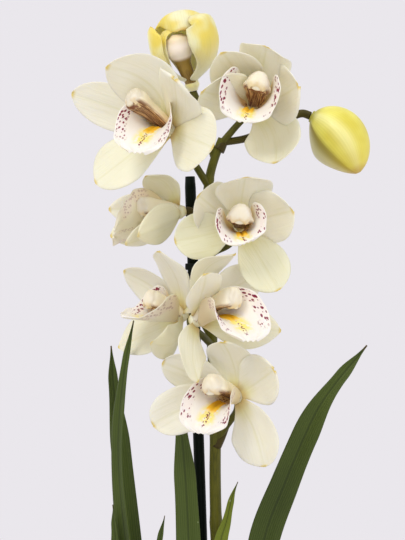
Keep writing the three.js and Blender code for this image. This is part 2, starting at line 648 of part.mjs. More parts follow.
function pot() {
  const { height, foot, belly, rim, rimDeep, wall, floor, sides } = POT;
  const shoulder = height - rimDeep;
  const profile = [
    [0, 0], [foot - 2, 0], [foot, 2], [belly, shoulder], [rim - 1, shoulder], [rim, shoulder + 2],
    [rim, height - 2], [rim - 1.5, height], [rim - wall - 1, height], [rim - wall - 2, height - 2],
    [belly - wall, shoulder], [foot - wall, floor], [0, floor],
  ];
  const shell = solidOf(turned(profile, sides));
  const drains = [];
  for (let k = 0; k < DRAIN.count; k++) {
    const angle = ((k + 0.5) / DRAIN.count) * 2 * Math.PI;
    const hole = new THREE.CylinderGeometry(DRAIN.radius, DRAIN.radius, 3 * floor, 8).rotateX(Math.PI / 2);
    drains.push(hole.translate(DRAIN.ring * Math.cos(angle), DRAIN.ring * Math.sin(angle), floor / 2));
  }
  return named("pot", geometryFrom(shell.subtract(joined(drains))), COLOURS.pot, 0.7);
}

// Bark in the pot: a plug with loose flat chunks on top, with plain holes for what stands in it.
function pottingMix() {
  const { foot, belly, height, rimDeep, wall, floor } = POT;
  const low = floor + GAP;
  const inner = (z) => lerp(foot, belly, (z - floor) / (height - rimDeep - floor)) - wall - GAP;
  const profile = [[0, low], [inner(low) - 0.3, low], [inner(MIX.level), MIX.level], [0, MIX.level]];
  const plug = turned(profile, POT.sides);
  const random = randomFrom(MIX.seed);
  const chunks = [];
  for (let k = 0; k < MIX.chunks; k++) {
    const angle = k * 2.39996;
    const ring = (inner(MIX.level) - 10) * Math.sqrt((k + 0.5) / MIX.chunks);
    const size = MIX.chunkSize * (0.8 + 0.7 * random());
    const chunk = new THREE.BoxGeometry(size * 1.3, size, size * 0.55);
    chunk.rotateX(0.7 * (random() - 0.5)).rotateY(0.7 * (random() - 0.5)).rotateZ(6 * random());
    chunks.push(chunk.translate(ring * Math.cos(angle), ring * Math.sin(angle), MIX.level + 1));
  }
  const holes = SHOOTS.map(({ at, bulb }) => well(at[0], at[1], bulb + GAP, MIX.level - 18 - GAP, 12));
  const [footX, footY, footZ] = RACHIS[0];
  holes.push(well(footX, footY, STEM.foot + 1, footZ - GAP, 9));
  const [stakeX, stakeY, stakeZ] = STAKE.bottom;
  holes.push(well(stakeX, stakeY, STAKE.width / 2 + 2.2, stakeZ - GAP, 10));
  const mix = joined([plug, ...chunks]).subtract(joined(holes));
  return named("potting_mix", geometryFrom(mix), COLOURS.mix, 0.95);
}

// A plain upright hole, open at the top.
function well(x, y, radius, bottom, sides) {
  const top = MIX.level + 20;
  const hole = new THREE.CylinderGeometry(radius, radius, top - bottom, sides).rotateX(Math.PI / 2);
  return hole.translate(x, y, (top + bottom) / 2);
}

// ---- the whole plant

const orchid = new THREE.Group();
orchid.name = "potted_orchid";
orchid.add(pot(), pottingMix(), stake(), tie(), flowerSpike(), openingBud(), closedBud());
orchid.add(...SHOOTS.map(shoot), ...BLOOMS.flatMap(bloom));

export default orchid;
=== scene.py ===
"""The looks of a potted orchid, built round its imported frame. Shapes are worked out in millimetres."""

from math import atan2, cos, pi, radians, sin, sqrt

import bpy
import numpy as np
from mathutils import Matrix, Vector

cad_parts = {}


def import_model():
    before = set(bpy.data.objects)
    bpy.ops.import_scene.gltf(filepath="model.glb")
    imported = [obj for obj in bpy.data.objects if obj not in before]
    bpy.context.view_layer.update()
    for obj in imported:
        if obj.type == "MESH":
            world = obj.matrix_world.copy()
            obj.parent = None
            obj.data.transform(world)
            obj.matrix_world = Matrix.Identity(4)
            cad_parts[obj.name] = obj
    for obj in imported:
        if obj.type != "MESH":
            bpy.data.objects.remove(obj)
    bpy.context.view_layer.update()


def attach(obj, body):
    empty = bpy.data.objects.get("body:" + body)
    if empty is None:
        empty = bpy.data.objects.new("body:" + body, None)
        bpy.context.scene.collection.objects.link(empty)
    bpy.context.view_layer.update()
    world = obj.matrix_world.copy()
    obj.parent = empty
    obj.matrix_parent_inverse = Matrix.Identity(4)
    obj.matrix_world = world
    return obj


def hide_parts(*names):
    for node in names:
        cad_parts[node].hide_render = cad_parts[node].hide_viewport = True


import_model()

MM = 0.001
UP = np.array([0.0, 0.0, 1.0])

# ---- driving dimensions, the same as those of the solids

GAP = 0.3
POT = dict(height=135, foot=52, belly=71, rim=77, rim_deep=17, wall=2.6, floor=4, middle=20)
DRAIN = dict(count=6, radius=5, ring=32)
MIX_LEVEL = 118
BARK = dict(chunks=230, seed=7, golden_angle=2.39996)
STAKE = dict(bottom=[8.5, 11, 70], top=[-7.6, 11, 563.5], width=8.4)
TIE = dict(height=495, tall=5, wall=1.4, clear=0.35, stem_at=5.1)
STEM = dict(foot=4.6, tip=3, pedicel=2.6)
HUB = dict(radius=5.6, back=5, front=4)
TEPAL = dict(thick=1.0, rim=0.35, rows=30, cols=20, root=4.2, base=0.24, widest=0.56, wave=0.9)
LIP = dict(thick=0.9, rim=0.3, rows=56, cols=44, foot=5.2, drop=4.2)
LEAF = dict(thick=0.9, rim=0.4, rows=90, cols=12, fold=0.34)
BULB = dict(depth=18, rings=96, sides=48)
SHEATHS = [(0.38, 0.05), (0.58, 0.07), (0.8, 0.06)]  # the height of each rim on a bulb, and how far it sways
FLOOR = dict(radius=1100, sides=96)
CAMERA = dict(at=(0.0019, -0.8, 0.4925), lens=71.1, sensor=36)


# ---- small helpers


def vec(a):
    return np.array(a, float)


def unit(a):
    return a / np.linalg.norm(a)


def lerp(a, b, t):
    return a + (b - a) * t


def ease(x, a, b):
    t = np.clip((x - a) / (b - a), 0, 1)
    return t * t * (3 - 2 * t)


def bell(x, middle, width):
    return np.exp(-(((x - middle) / width) ** 2))


def circle(sides):
    """The angles of evenly spaced points round a circle."""
    return [2 * pi * k / sides for k in range(sides)]


def along(stations, u):
    """The value at u on a smooth line through (u, value) stations."""
    i = 1
    while i < len(stations) - 1 and stations[i][0] < u:
        i += 1
    (u0, a), (u1, b) = stations[i - 1], stations[i]
    return lerp(a, b, ease(u, u0, u1))


def flow(stations, u):
    """Like along, but as one curve that doesn't level off at each station."""
    us, vs = [s[0] for s in stations], [s[1] for s in stations]
    i = 0
    while i < len(us) - 2 and us[i + 1] < u:
        i += 1
    rise = [(vs[k + 1] - vs[k]) / (us[k + 1] - us[k]) for k in range(len(us) - 1)]
    steep = [rise[0]] + [(rise[k - 1] + rise[k]) / 2 for k in range(1, len(rise))] + [rise[-1]]
    w = us[i + 1] - us[i]
    t = (u - us[i]) / w
    a, b = vs[i], vs[i + 1]
    m, n = steep[i] * w, steep[i + 1] * w
    return a + m * t + (3 * (b - a) - 2 * m - n) * t * t + (2 * (a - b) + m + n) * t**3


def turned(v, axis, angle):
    """v turned about a unit axis."""
    c, s = cos(angle), sin(angle)
    return v * c + np.cross(axis, v) * s + axis * np.dot(axis, v) * (1 - c)


def bezier(a, b, c):
    a, b, c = vec(a), vec(b), vec(c)
    return lambda u: (1 - u) ** 2 * a + 2 * u * (1 - u) * b + u * u * c


def straight(a, b):
    a, b = vec(a), vec(b)
    return lambda u: lerp(a, b, u)


def smooth_curve(points):
    """A centripetal Catmull-Rom curve through the points."""
    pts = [vec(p) for p in points]
    pts = [2 * pts[0] - pts[1]] + pts + [2 * pts[-1] - pts[-2]]
    last = len(pts) - 4

    def at(u):
        p = u * (last + 1)
        i = min(int(p), last)
        w = p - i
        p0, p1, p2, p3 = pts[i : i + 4]
        d0, d1, d2 = (np.linalg.norm(b - a) ** 0.5 for a, b in ((p0, p1), (p1, p2), (p2, p3)))
        t1 = ((p1 - p0) / d0 - (p2 - p0) / (d0 + d1) + (p2 - p1) / d1) * d1
        t2 = ((p2 - p1) / d1 - (p3 - p1) / (d1 + d2) + (p3 - p2) / d2) * d1
        return p1 + t1 * w + (-3 * p1 + 3 * p2 - 2 * t1 - t2) * w * w + (2 * p1 - 2 * p2 + t1 + t2) * w**3

    return at


def even(curve, steps=160):
    """The same curve, run through at an even pace."""
    us = np.linspace(0, 1, steps + 1)
    pts = np.array([curve(u) for u in us])
    run = np.concatenate([[0], np.cumsum(np.linalg.norm(np.diff(pts, axis=0), axis=1))])
    return lambda u: curve(float(np.interp(u * run[-1], run, us)))


def slope(curve, u):
    return unit(curve(min(u + 0.01, 1)) - curve(max(u - 0.01, 0)))


# ---- meshes


class Shape:
    """Points, faces and per-point values of one object; several sheets and rods can be put in it."""

    def __init__(self):
        self.points, self.faces, self.slots, self.values = [], [], [], {}

    def add(self, points, faces, slot=0, **values):
        start = sum(len(p) for p in self.points)
        for name in {**self.values, **values}:
            column = self.values.setdefault(name, [np.zeros(start)] if start else [])
            column.append(np.broadcast_to(values.get(name, 0.0), (len(points),)))
        self.points.append(np.asarray(points))
        self.faces += [tuple(start + i for i in f) for f in faces]
        self.slots += [slot] * len(faces)

    def object(self, name, materials, at=(0, 0, 0)):
        mesh = bpy.data.meshes.new(name)
        points = (np.concatenate(self.points) + vec(at)) * MM
        mesh.from_pydata(points.tolist(), [], self.faces)
        for key, column in self.values.items():
            mesh.attributes.new(key, "FLOAT", "POINT").data.foreach_set(
                "value", np.concatenate(column).astype(np.float32)
            )
        for material in materials:
            mesh.materials.append(material)
        mesh.polygons.foreach_set("material_index", self.slots)
        mesh.polygons.foreach_set("use_smooth", [True] * len(self.faces))
        mesh.update()
        made = bpy.data.objects.new(name, mesh)
        bpy.context.scene.collection.objects.link(made)
        return made

    def piece(self, name, materials, node, slot, at=(0, 0, 0)):
        """The object as the piece that takes the place of a CAD node; materials names its materials."""
        finish_piece(self.object(name, [MATERIALS[key] for key in materials], at), node)


def tube(rings, sides):
    """The faces of a tube whose rings of points follow each other, with a flat face at either end."""
    faces = []
    for i in range(rings):
        here, there = i * sides, (i + 1) * sides
        for k in range(sides):
            n = (k + 1) % sides
            faces.append((here + k, here + n, there + n, there + k))
    return faces + [tuple(reversed(range(sides))), tuple(rings * sides + k for k in range(sides))]


def rod(shape, curve, radius, rings, sides, side=(0, -1, 0.01), slot=0, **values):
    """A tube round the curve. radius(u, angle) is its radius, and side the way to each ring's first point."""
    us = np.linspace(0, 1, rings + 1)
    points, alongs, faced, runs = [], [], [], []
    run, before = 0.0, None
    for u in us:
        centre, tangent = curve(u), slope(curve, u)
        out = unit(vec(side) - tangent * np.dot(side, tangent))
        over = np.cross(tangent, out)
        run += 0 if before is None else np.linalg.norm(centre - before)
        before = centre
        for angle in circle(sides):
            r = radius(u, angle)
            points.append(centre + r * (out * cos(angle) + over * sin(angle)))
            alongs.append(u)
            faced.append(cos(angle))
            runs.append(run)
    shape.add(points, tube(rings, sides), slot, along=alongs, faced=faced, run=runs, **values)


def blade(shape, kind, centre, side, half, lift, cup=lambda u: 0, keel=0, tall=1, pace=1, **values):
    """A closed sheet on a centreline. half(u) is its half width, lift(u, v, across) moves its surface in mm,
    cup(u) is half the angle of its arch, and keel the depth of a fold along its middle. It thins to its rim,
    and its points lie closer together towards the tip and the rim."""
    rows, cols = kind["rows"], kind["cols"]
    us = 1 - (1 - np.linspace(0, 1, rows + 1)) ** 1.35
    vs = np.linspace(-1, 1, cols + 1)
    vs = np.sign(vs) * np.abs(vs) ** 0.85
    sheet = np.zeros((rows + 1, cols + 1, 3))
    across_mm = np.zeros((rows + 1, cols + 1))
    run_mm = np.zeros(rows + 1)
    for i, u in enumerate(us):
        tangent = slope(centre, u)
        across = unit(side - tangent * np.dot(side, tangent))
        face = np.cross(across, tangent)
        bend, h = radians(cup(u)), half(u)
        if abs(bend) < 0.01:
            over, up = h * vs, 0 * vs
        else:
            over, up = h * np.sin(bend * vs) / bend, h * (1 - np.cos(bend * vs)) / bend
        up = up * tall + h * keel * np.abs(vs) + lift(u, vs, h * vs)
        sheet[i] = centre(u) + np.outer(over, across) + np.outer(up, face)
        across_mm[i] = h * vs
        if i:
            run_mm[i] = run_mm[i - 1] + np.linalg.norm(centre(u) - centre(us[i - 1]))
    normal = np.cross(np.gradient(sheet, axis=1), np.gradient(sheet, axis=0))
    normal /= np.maximum(np.linalg.norm(normal, axis=2, keepdims=True), 1e-9)
    edge = np.minimum(1 - np.abs(vs)[None, :] ** 6, 1 - us[:, None] ** 16)
    shell = normal * (lerp(kind["rim"], kind["thick"], np.clip(edge, 0, 1)) / 2)[:, :, None]
    points = np.concatenate([(sheet + shell).reshape(-1, 3), (sheet - shell).reshape(-1, 3)])
    count, wide = (rows + 1) * (cols + 1), cols + 1
    faces = []
    for i in range(rows):
        for j in range(cols):
            a, b, c, d = i * wide + j, i * wide + j + 1, (i + 1) * wide + j + 1, (i + 1) * wide + j
            faces.append((a, b, c, d))
            faces.append((a + count, d + count, c + count, b + count))
    rim_points = [*range(cols)] + [i * wide + cols for i in range(rows)]
    rim_points += [rows * wide + j for j in range(cols, 0, -1)] + [i * wide for i in range(rows, 0, -1)]
    for n, p in enumerate(rim_points):
        q = rim_points[(n + 1) % len(rim_points)]
        faces.append((q, p, p + count, q + count))
    grid_u, grid_v = np.meshgrid(us, vs, indexing="ij")
    margin = np.abs([half(u) for u in us])[:, None] * (1 - np.abs(grid_v))

    def both(a):
        return np.tile(np.ravel(a), 2)

    shape.add(
        points, faces, along=both(grid_u**pace), across=both(grid_v), across_mm=both(across_mm),
        run=both(np.repeat(run_mm, wide)), margin=both(margin), front=np.repeat([1.0, 0.0], count), **values,
    )


# ---- materials


def srgb(*rgb):
    """A colour given as 0 to 255, as the linear colour that a socket takes."""
    shares = [c / 255 for c in rgb]
    return (*(s / 12.92 if s <= 0.04045 else ((s + 0.055) / 1.055) ** 2.4 for s in shares), 1)


class Graph:
    """A short way to write a material's nodes. g[name] is the mesh's own value of that name."""

    def __init__(self, name, roughness=0.5, **sockets):
        self.material = bpy.data.materials.new(name)
        self.material.use_nodes = True
        self.tree = self.material.node_tree
        self.shader = self.tree.nodes["Principled BSDF"]
        self.shader.inputs["Roughness"].default_value = roughness
        for key, value in sockets.items():
            self.shader.inputs[key.replace("_", " ")].default_value = value
        self.colour = None

    def set(self, socket, value):
        if isinstance(value, bpy.types.NodeSocket):
            self.tree.links.new(value, socket)
        else:
            socket.default_value = value

    def node(self, kind, **props):
        made = self.tree.nodes.new(kind)
        for key, value in props.items():
            setattr(made, key, value)
        return made

    def __getitem__(self, name):
        return self.node("ShaderNodeAttribute", attribute_name=name).outputs["Fac"]

    def place(self):
        return self.node("ShaderNodeTexCoord").outputs["Object"]

    def math(self, operation, *values):
        made = self.node("ShaderNodeMath", operation=operation)
        for socket, value in zip(made.inputs, values):
            self.set(socket, value)
        return made.outputs[0]

    def times(self, first, *others):
        for other in others:
            first = self.math("MULTIPLY", first, other)
        return first

    def scaled(self, x, factor, offset):
        return self.math("MULTIPLY_ADD", x, factor, offset)

    def size(self, x):
        return self.math("ABSOLUTE", x)

    def waves(self, x):
        """The sine of x, brought to 0 to 1."""
        return self.scaled(self.math("SINE", x), 0.5, 0.5)

    def join(self, x, y, z=0):
        made = self.node("ShaderNodeCombineXYZ")
        for socket, value in zip(made.inputs, (x, y, z)):
            self.set(socket, value)
        return made.outputs[0]

    def band(self, x, a, b, low=0, high=1):
        """low below a, high above b, with a soft step between; a may be above b."""
        made = self.node("ShaderNodeMapRange", interpolation_type="SMOOTHSTEP")
        for key, value in zip(("Value", "From Min", "From Max", "To Min", "To Max"), (x, a, b, low, high)):
            self.set(made.inputs[key], value)
        return made.outputs[0]

    def mix(self, factor, a, b):
        made = self.node("ShaderNodeMix", data_type="RGBA", blend_type="MIX")
        self.set(made.inputs["Factor"], factor)
        self.set(made.inputs[6], a)
        self.set(made.inputs[7], b)
        return made.outputs[2]

    def noise(self, vector, scale, detail=3, roughness=0.5):
        made = self.node("ShaderNodeTexNoise")
        for key, value in zip(("Vector", "Scale", "Detail", "Roughness"), (vector, scale, detail, roughness)):
            self.set(made.inputs[key], value)
        return made.outputs["Fac"]

    def grain(self, *settings):
        """Noise that is fixed to the object."""
        return self.noise(self.place(), *settings)

    def cells(self, vector, scale, output="Distance"):
        made = self.node("ShaderNodeTexVoronoi")
        self.set(made.inputs["Vector"], vector)
        made.inputs["Scale"].default_value = scale
        return made.outputs[output]

    def base(self, factor, a, b):
        self.colour = self.mix(factor, srgb(*a), srgb(*b))

    def paint(self, colour, *factors):
        """Lays a colour over the last, as strongly as the product of the factors."""
        over = colour if isinstance(colour, bpy.types.NodeSocket) else srgb(*colour)
        self.colour = self.mix(self.times(*factors), self.colour, over)

    def done(self, height, strength, distance, roughness=None):
        """The material, with bumps of that height and, if given, a roughness that varies."""
        bump = self.node("ShaderNodeBump")
        for key, value in zip(("Height", "Strength", "Distance"), (height, strength, distance)):
            self.set(bump.inputs[key], value)
        self.set(self.shader.inputs["Normal"], bump.outputs[0])
        self.set(self.shader.inputs["Base Color"], self.colour)
        if roughness is not None:
            self.set(self.shader.inputs["Roughness"], roughness)
        return self.material


def glow(weight, *radius):
    """How much light passes under the surface, and how far in metres its red, green and blue go."""
    return dict(Subsurface_Weight=weight, Subsurface_Radius=radius, Subsurface_Scale=1)


PETAL = glow(0.22, 0.004, 0.0032, 0.002)
VEIN_SPACING = 2.4
LEAF_LINE_SPACING = 1.5


def veins(g, spacing=VEIN_SPACING):
    """Soft streaks that run the length of a petal, about spacing mm apart."""
    x = g.times(g["across_mm"], 1 / spacing)
    plan = g.join(x, g.times(g["run"], 0.02), g["tone"])
    return g.band(g.noise(plan, 2, 3, 0.55), 0.35, 0.7)


def tepal_material():
    """Cream with faint veins, greener towards its base, with a yellow tip."""
    g = Graph("cream_tepal", 0.44, **PETAL)
    u, tone, wide = g["along"], g["tone"], g.size(g["across_mm"])
    broad, line = g.grain(26, 2), veins(g)
    g.base(tone, (247, 244, 228), (236, 235, 200))
    g.paint((230, 222, 190), g.band(broad, 0.3, 0.75), 0.4)
    inner = g.band(g.size(g["across"]), 1, 0.5)
    g.paint((206, 204, 132), g.band(line, 0.5, 1), inner, g.scaled(tone, 0.13, 0.07))
    g.paint((222, 216, 128), g.band(u, 0.42, 0.04), g.band(wide, 11, 2), 0.6)
    g.paint((196, 164, 96), g.band(u, 0.2, 0.02, 0, 0.75))
    g.paint((222, 190, 70), g.band(u, 0.955, 0.995), g.band(wide, 4.5, 1), 0.85)
    g.paint((212, 206, 136), g.band(wide, 1.5, 0.1, 0, 0.15))
    g.paint((236, 228, 190), g.math("SUBTRACT", 1, g["front"]), 0.35)
    return g.done(g.scaled(g.grain(1400, 2), 0.35, line), 0.25, 0.0004, g.scaled(broad, 0.15, 0.38))


def column_material():
    """The column is cream above; below it is tan with brown-red stripes."""
    g = Graph("column", 0.42, **PETAL)
    u = g["along"]
    under = g.times(g.band(g["faced"], -0.2, -0.62), g.band(u, 0.94, 0.84))
    stripes = g.noise(g.join(g.times(u, 1.2), g.times(g["turn"], 5)), 2.4, 3)
    g.base(g.grain(60), (252, 244, 222), (242, 228, 186))
    g.paint((212, 174, 118), under)
    g.paint((98, 46, 24), g.band(stripes, 0.42, 0.52), under, 0.9)
    return g.done(g.grain(500, 3), 0.15, 0.0004)


def cap_material():
    """Cream, painted yellower on its lower side as painted shade, with a rust-brown line along its lower rim.
    """
    g = Graph("anther_cap", 0.4, **PETAL)
    rim = g.scaled(g.grain(420, 2), 0.5, g["faced"])
    g.base(g.grain(120), (255, 248, 228), (248, 232, 190))
    # painted shade: the lower side of the cap is painted yellower
    g.paint((240, 206, 130), g.band(rim, 0.1, -0.5, 0, 0.6))
    g.paint((132, 74, 36), g.band(rim, -0.52, -0.66))
    return g.done(g.grain(700, 2), 0.12, 0.0003)


def lip_material():
    """White with yellow ridges, a dotted midline and magenta spots near the rim; cream to tan outside."""
    g = Graph("spotted_lip", 0.44, **PETAL)
    u, x, run, seed = (g[key] for key in ("along", "across_mm", "run", "seed"))
    front, margin, wide, plan = g["front"], g["margin"], g.size(x), g.join(x, run, seed)
    g.base(g.grain(40), (252, 249, 240), (244, 238, 222))
    outside = g.mix(g.band(u, 0.75, 0.1), srgb(238, 230, 198), srgb(208, 182, 122))
    g.paint(outside, g.math("SUBTRACT", 1, front), 0.75)
    g.paint((238, 205, 150), g.band(u, 0.34, 0.12), front)
    patch = g.times(g.band(wide, 9, 3), g.band(u, 0.3, 0.5), g.band(u, 0.92, 0.78))
    g.paint((255, 236, 130), patch, g.band(g.noise(plan, 0.35, 4), 0.3, 0.55), front)
    ridges = g.times(g.band(wide, 4.4, 3.2), g.band(u, 0.2, 0.28), g.band(u, 0.64, 0.56))
    g.paint((252, 190, 44), ridges, front)
    rust = g.times(g.band(g.noise(plan, 0.9, 3), 0.5, 0.62), g.band(u, 0.36, 0.2), front)
    g.paint((140, 64, 36), rust, g.band(wide, 9, 6))
    patchy = g.band(g.noise(plan, 0.16, 2), 0.35, 0.43)
    rim = g.times(g.band(margin, 0.6, 1.2), g.band(margin, 10.5, 7.5))
    zone = g.times(rim, g.band(u, 0.28, 0.36), g.band(u, 0.9, 0.8))
    g.paint((226, 180, 200), zone, g.band(patchy, 0, 1, 0.02, 0.16))
    spaced = g.join(x, g.times(run, 0.8), seed)
    some = g.band(g.cells(spaced, 0.58, "Color"), 0.2, 0.24)
    dots = g.times(g.band(g.cells(spaced, 0.58), 0.47, 0.38), some, zone)
    dots = g.times(dots, g.math("MAXIMUM", patchy, g.band(margin, 3.2, 2.4)))
    midline = g.times(g.band(wide, 1.7, 1.1), g.band(u, 0.6, 0.64), g.band(u, 0.93, 0.9))
    line = g.times(midline, g.band(g.cells(plan, 0.7), 0.5, 0.38))
    g.paint((124, 0, 54), g.math("MAXIMUM", dots, line), g.band(front, 0, 1, 0.35, 1))
    return g.done(g.grain(300, 3), 0.2, 0.0005)


def open_bud_material():
    """Yellow, cream towards its base, and painted paler inside as painted light, standing in for light that
    shines through the tepals.
    """
    g = Graph("opening_bud", 0.44, **glow(0.35, 0.006, 0.005, 0.002))
    u, line = g["along"], veins(g, 1.6)
    g.base(g.band(g.grain(38, 2), 0.38, 0.62), (253, 248, 192), (245, 218, 92))
    g.paint((238, 233, 196), g.band(u, 0.62, 0.12, 0, 0.85))
    g.paint((214, 160, 60), g.band(u, 0.97, 1, 0, 0.8))
    g.paint((206, 196, 90), g.band(line, 0.5, 1, 0, 0.2))
    # painted light: the inside of each tepal is painted paler to stand in for light through the tepals
    g.paint((255, 250, 214), g["front"], 0.6)
    return g.done(line, 0.22, 0.0004)


def bud_lip_material():
    """The folded lip of the opening bud: olive-brown below and pinkish white above."""
    g = Graph("folded_lip", 0.45, **PETAL)
    u = g["along"]
    stripes = g.noise(g.join(g.times(u, 2), g.times(g["faced"], 8)), 2, 3)
    g.base(g.band(u, 0.5, 0.6), (160, 130, 50), (255, 242, 228))
    g.paint((246, 222, 160), g.band(u, 0.78, 0.98, 0, 0.7))
    g.paint((96, 66, 20), g.band(stripes, 0.4, 0.65), g.band(u, 0.54, 0.36, 0, 0.7))
    return g.done(g.grain(400, 3), 0.2, 0.0005)


def closed_bud_material():
    """Yellow above its seam and paler below it, with a painted highlight along its ridges, painted shade as a
    dark line along each seam and a painted shadow just below the seam.
    """
    g = Graph("closed_bud", 0.36, **glow(0.08, 0.003, 0.002, 0.001))
    u, under = g["along"], g["under"]
    lines = g.waves(g.times(g["turn"], 60))
    g.base(g.band(g.grain(26, 3), 0.35, 0.65), (244, 238, 112), (222, 208, 70))
    # painted highlight along the ridges
    g.paint((254, 251, 176), g["ridge"], 0.7)
    g.paint((206, 200, 148), g.band(under, 0.02, 0.16, 0, 0.9))
    # painted shadow: olive just below the seam
    g.paint((146, 128, 24), g.band(under, 0.02, 0.1), g.band(under, 0.7, 0.16), 0.85)
    g.paint((186, 188, 70), lines, 0.14)
    # painted shade: a dark line in the groove along each seam
    g.paint((150, 134, 30), g["seam"], 0.5)
    g.paint((176, 172, 64), g.band(u, 0.14, 0))
    g.paint((226, 200, 50), g.band(u, 0.55, 0.95, 0, 0.45))
    g.paint((196, 156, 50), g.band(u, 0.9, 1, 0, 0.7))
    return g.done(g.scaled(lines, 0.4, g.grain(200, 3)), 0.15, 0.0005)


def stem_material():
    """Olive green with darker streaks, and brown where a stalk or bract is brown."""
    g = Graph("green_stem", 0.45, Specular_IOR_Level=0.2)
    broad = g.grain(30, 3)
    streaks = g.noise(g.join(g.times(g["faced"], 4), g.times(g["run"], 0.03)), 3, 4)
    g.base(broad, (70, 74, 10), (106, 102, 26))
    g.paint((42, 48, 8), g.band(streaks, 0.4, 0.7, 0, 0.5))
    g.paint((52, 30, 14), g["brown"], 0.85)
    return g.done(g.scaled(streaks, 1.5, g.grain(600, 3)), 0.25, 0.0005, g.scaled(broad, 0.2, 0.34))


def leaf_material():
    """Green with fine lines along it, a dark midline, a pale foot, a dry tip and a few pale flecks."""
    g = Graph("strap_leaf", 0.45, Specular_IOR_Level=0.22)
    u, x = g["along"], g["across_mm"]
    broad = g.grain(14, 3)
    lines = g.waves(g.scaled(x, 2 * pi / LEAF_LINE_SPACING, g.times(g.grain(20), 4)))
    g.base(broad, (42, 57, 15), (78, 94, 33))
    g.paint((104, 116, 24), g["young"])
    g.paint((94, 106, 46), lines, 0.27)
    g.paint((28, 38, 10), g.band(g.size(x), 0.9, 0.2), 0.5)
    g.paint((126, 132, 84), g.band(u, 0.14, 0))
    g.paint((96, 76, 44), g.band(u, 0.975, 1), 0.8)
    g.paint((160, 170, 130), g.band(g.cells(g.place(), 60), 0.06, 0.03), 0.5)
    return g.done(g.scaled(lines, 0.8, g.grain(250, 3)), 0.3, 0.0005, g.scaled(broad, 0.25, 0.3))


def bulb_material():
    """Green with dry, fibrous sheaths: pale along each rim, with painted shade in the crease just above it.
    """
    g = Graph("bulb_sheath", 0.5)
    u = g["along"]
    fibres = g.noise(g.join(g.times(g["turn"], 14), g.times(u, 1.5)), 2, 5)
    g.base(g.grain(30), (104, 118, 56), (134, 140, 84))
    g.paint((150, 132, 88), g.band(fibres, 0.45, 0.7))
    g.paint((112, 84, 50), g.band(u, 0.4, 0.15))
    # painted shade in the crease just above each sheath rim
    g.paint((64, 62, 26), g["crease"], 0.6)
    g.paint((176, 150, 104), g["edge"], 0.7)
    return g.done(fibres, 0.5, 0.0008)


def plastic_material(name, colour, darker, roughness, grain, shine=0.3):
    """Moulded plastic with a fine grain, darker in broad patches."""
    g = Graph(name, roughness, Specular_IOR_Level=shine)
    fine = g.grain(grain, 3)
    g.base(g.band(g.grain(18, 4), 0.35, 0.75), colour, darker)
    return g.done(fine, 0.18, 0.0004, g.scaled(fine, 0.2, roughness - 0.1))


def bark_material():
    g = Graph("bark", 0.85)
    grain = g.grain(240, 5, 0.65)
    g.base(g["tone"], (74, 46, 28), (150, 104, 66))
    g.paint((48, 30, 20), g.band(grain, 0.4, 0.7))
    return g.done(grain, 0.7, 0.0012)


MATERIALS = dict(
    tepal=tepal_material(), column=column_material(), cap=cap_material(), lip=lip_material(),
    open_bud=open_bud_material(), bud_lip=bud_lip_material(), closed_bud=closed_bud_material(),
    stem=stem_material(), leaf=leaf_material(), bulb=bulb_material(), bark=bark_material(),
    stake=plastic_material("dark_green_stake", (6, 18, 6), (3, 9, 4), 0.5, 300, 0.1),
    tie=plastic_material("dark_green_tie", (8, 18, 8), (4, 10, 5), 0.6, 500, 0.1),
    pot=plastic_material("terracotta_plastic", (158, 94, 66), (140, 80, 56), 0.6, 700),
)


def finish_piece(piece, node):
    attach(piece, "root")
    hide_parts(node)


# ---- blooms


def tepal_half(u, point=0):
    """A tepal's share of its half width: narrow at the base, widest past the middle, and round at the tip, or
    pointed there when point is 1."""
    base, widest = TEPAL["base"], TEPAL["widest"]
    if u < widest:
        return base + (1 - base) * sin(pi / 2 * u / widest) ** 1.3
    fall, blunt = 2.9 - 1.1 * point, 0.52 + 0.33 * point
    return max((1 - min((u - widest) / (1 - widest), 1) ** fall) ** blunt, 0.05)


def bloom_axes(turn, nod, roll):
    """The ways that a bloom faces and stands, from how far it turns, nods and rolls in degrees."""
    yaw, pitch = radians(turn), radians(nod)
    facing = vec([cos(pitch) * sin(yaw), -cos(pitch) * cos(yaw), -sin(pitch)])
    up = unit(UP + facing * sin(pitch))
    return facing, turned(up, facing, -radians(roll))


def tepal(
    shape, facing, seed, tip, wide, bow=0, sway=0, hump=(0, 0, 0), cup=20, keel=0, face=None, tone=0.3,
    curl=0.8, point=0.1,
):
    """A tepal from the hub to its tip, with a softly waved rim. bow, sway and hump bend it, face is the way
    its front looks, curl rolls its rim back, and point sharpens its tip."""
    end = vec(tip)
    front = facing if face is None else unit(vec(face))
    outward = unit(end - front * np.dot(end, front))
    side = np.cross(outward, front)
    root = unit(end - facing * np.dot(end, facing)) * TEPAL["root"]
    phases = np.random.default_rng(seed).uniform(0, 2 * pi, 4)
    wave = TEPAL["wave"]

    def centre(u):
        rise = 4 * u * (1 - u)
        return lerp(root, end, u) + (front * bow + side * sway + vec(hump)) * rise

    def lift(u, v, x):
        rim = np.abs(v) ** 3 * ease(u, 0.1, 0.5)
        waves = np.sin(7 * u + phases[0] + 2 * v) + 0.6 * np.sin(13 * u + phases[1] - 3 * v)
        broad = 1.3 * np.sin(2.8 * v + phases[2] + 2.5 * u) * sin(pi * u)
        groove = -0.45 * bell(x, 0, 1.3) * ease(u, 0.05, 0.3) * (1 - ease(u, 0.8, 1))
        rolled = curl * np.abs(v) ** 4 * sin(pi * min(u, 0.9))
        return wave * rim * waves + broad * wave + groove - rolled

    blade(
        shape, TEPAL, centre, side, lambda u: wide / 2 * tepal_half(u, point), lift, lambda u: cup, keel,
        tone=tone,
    )


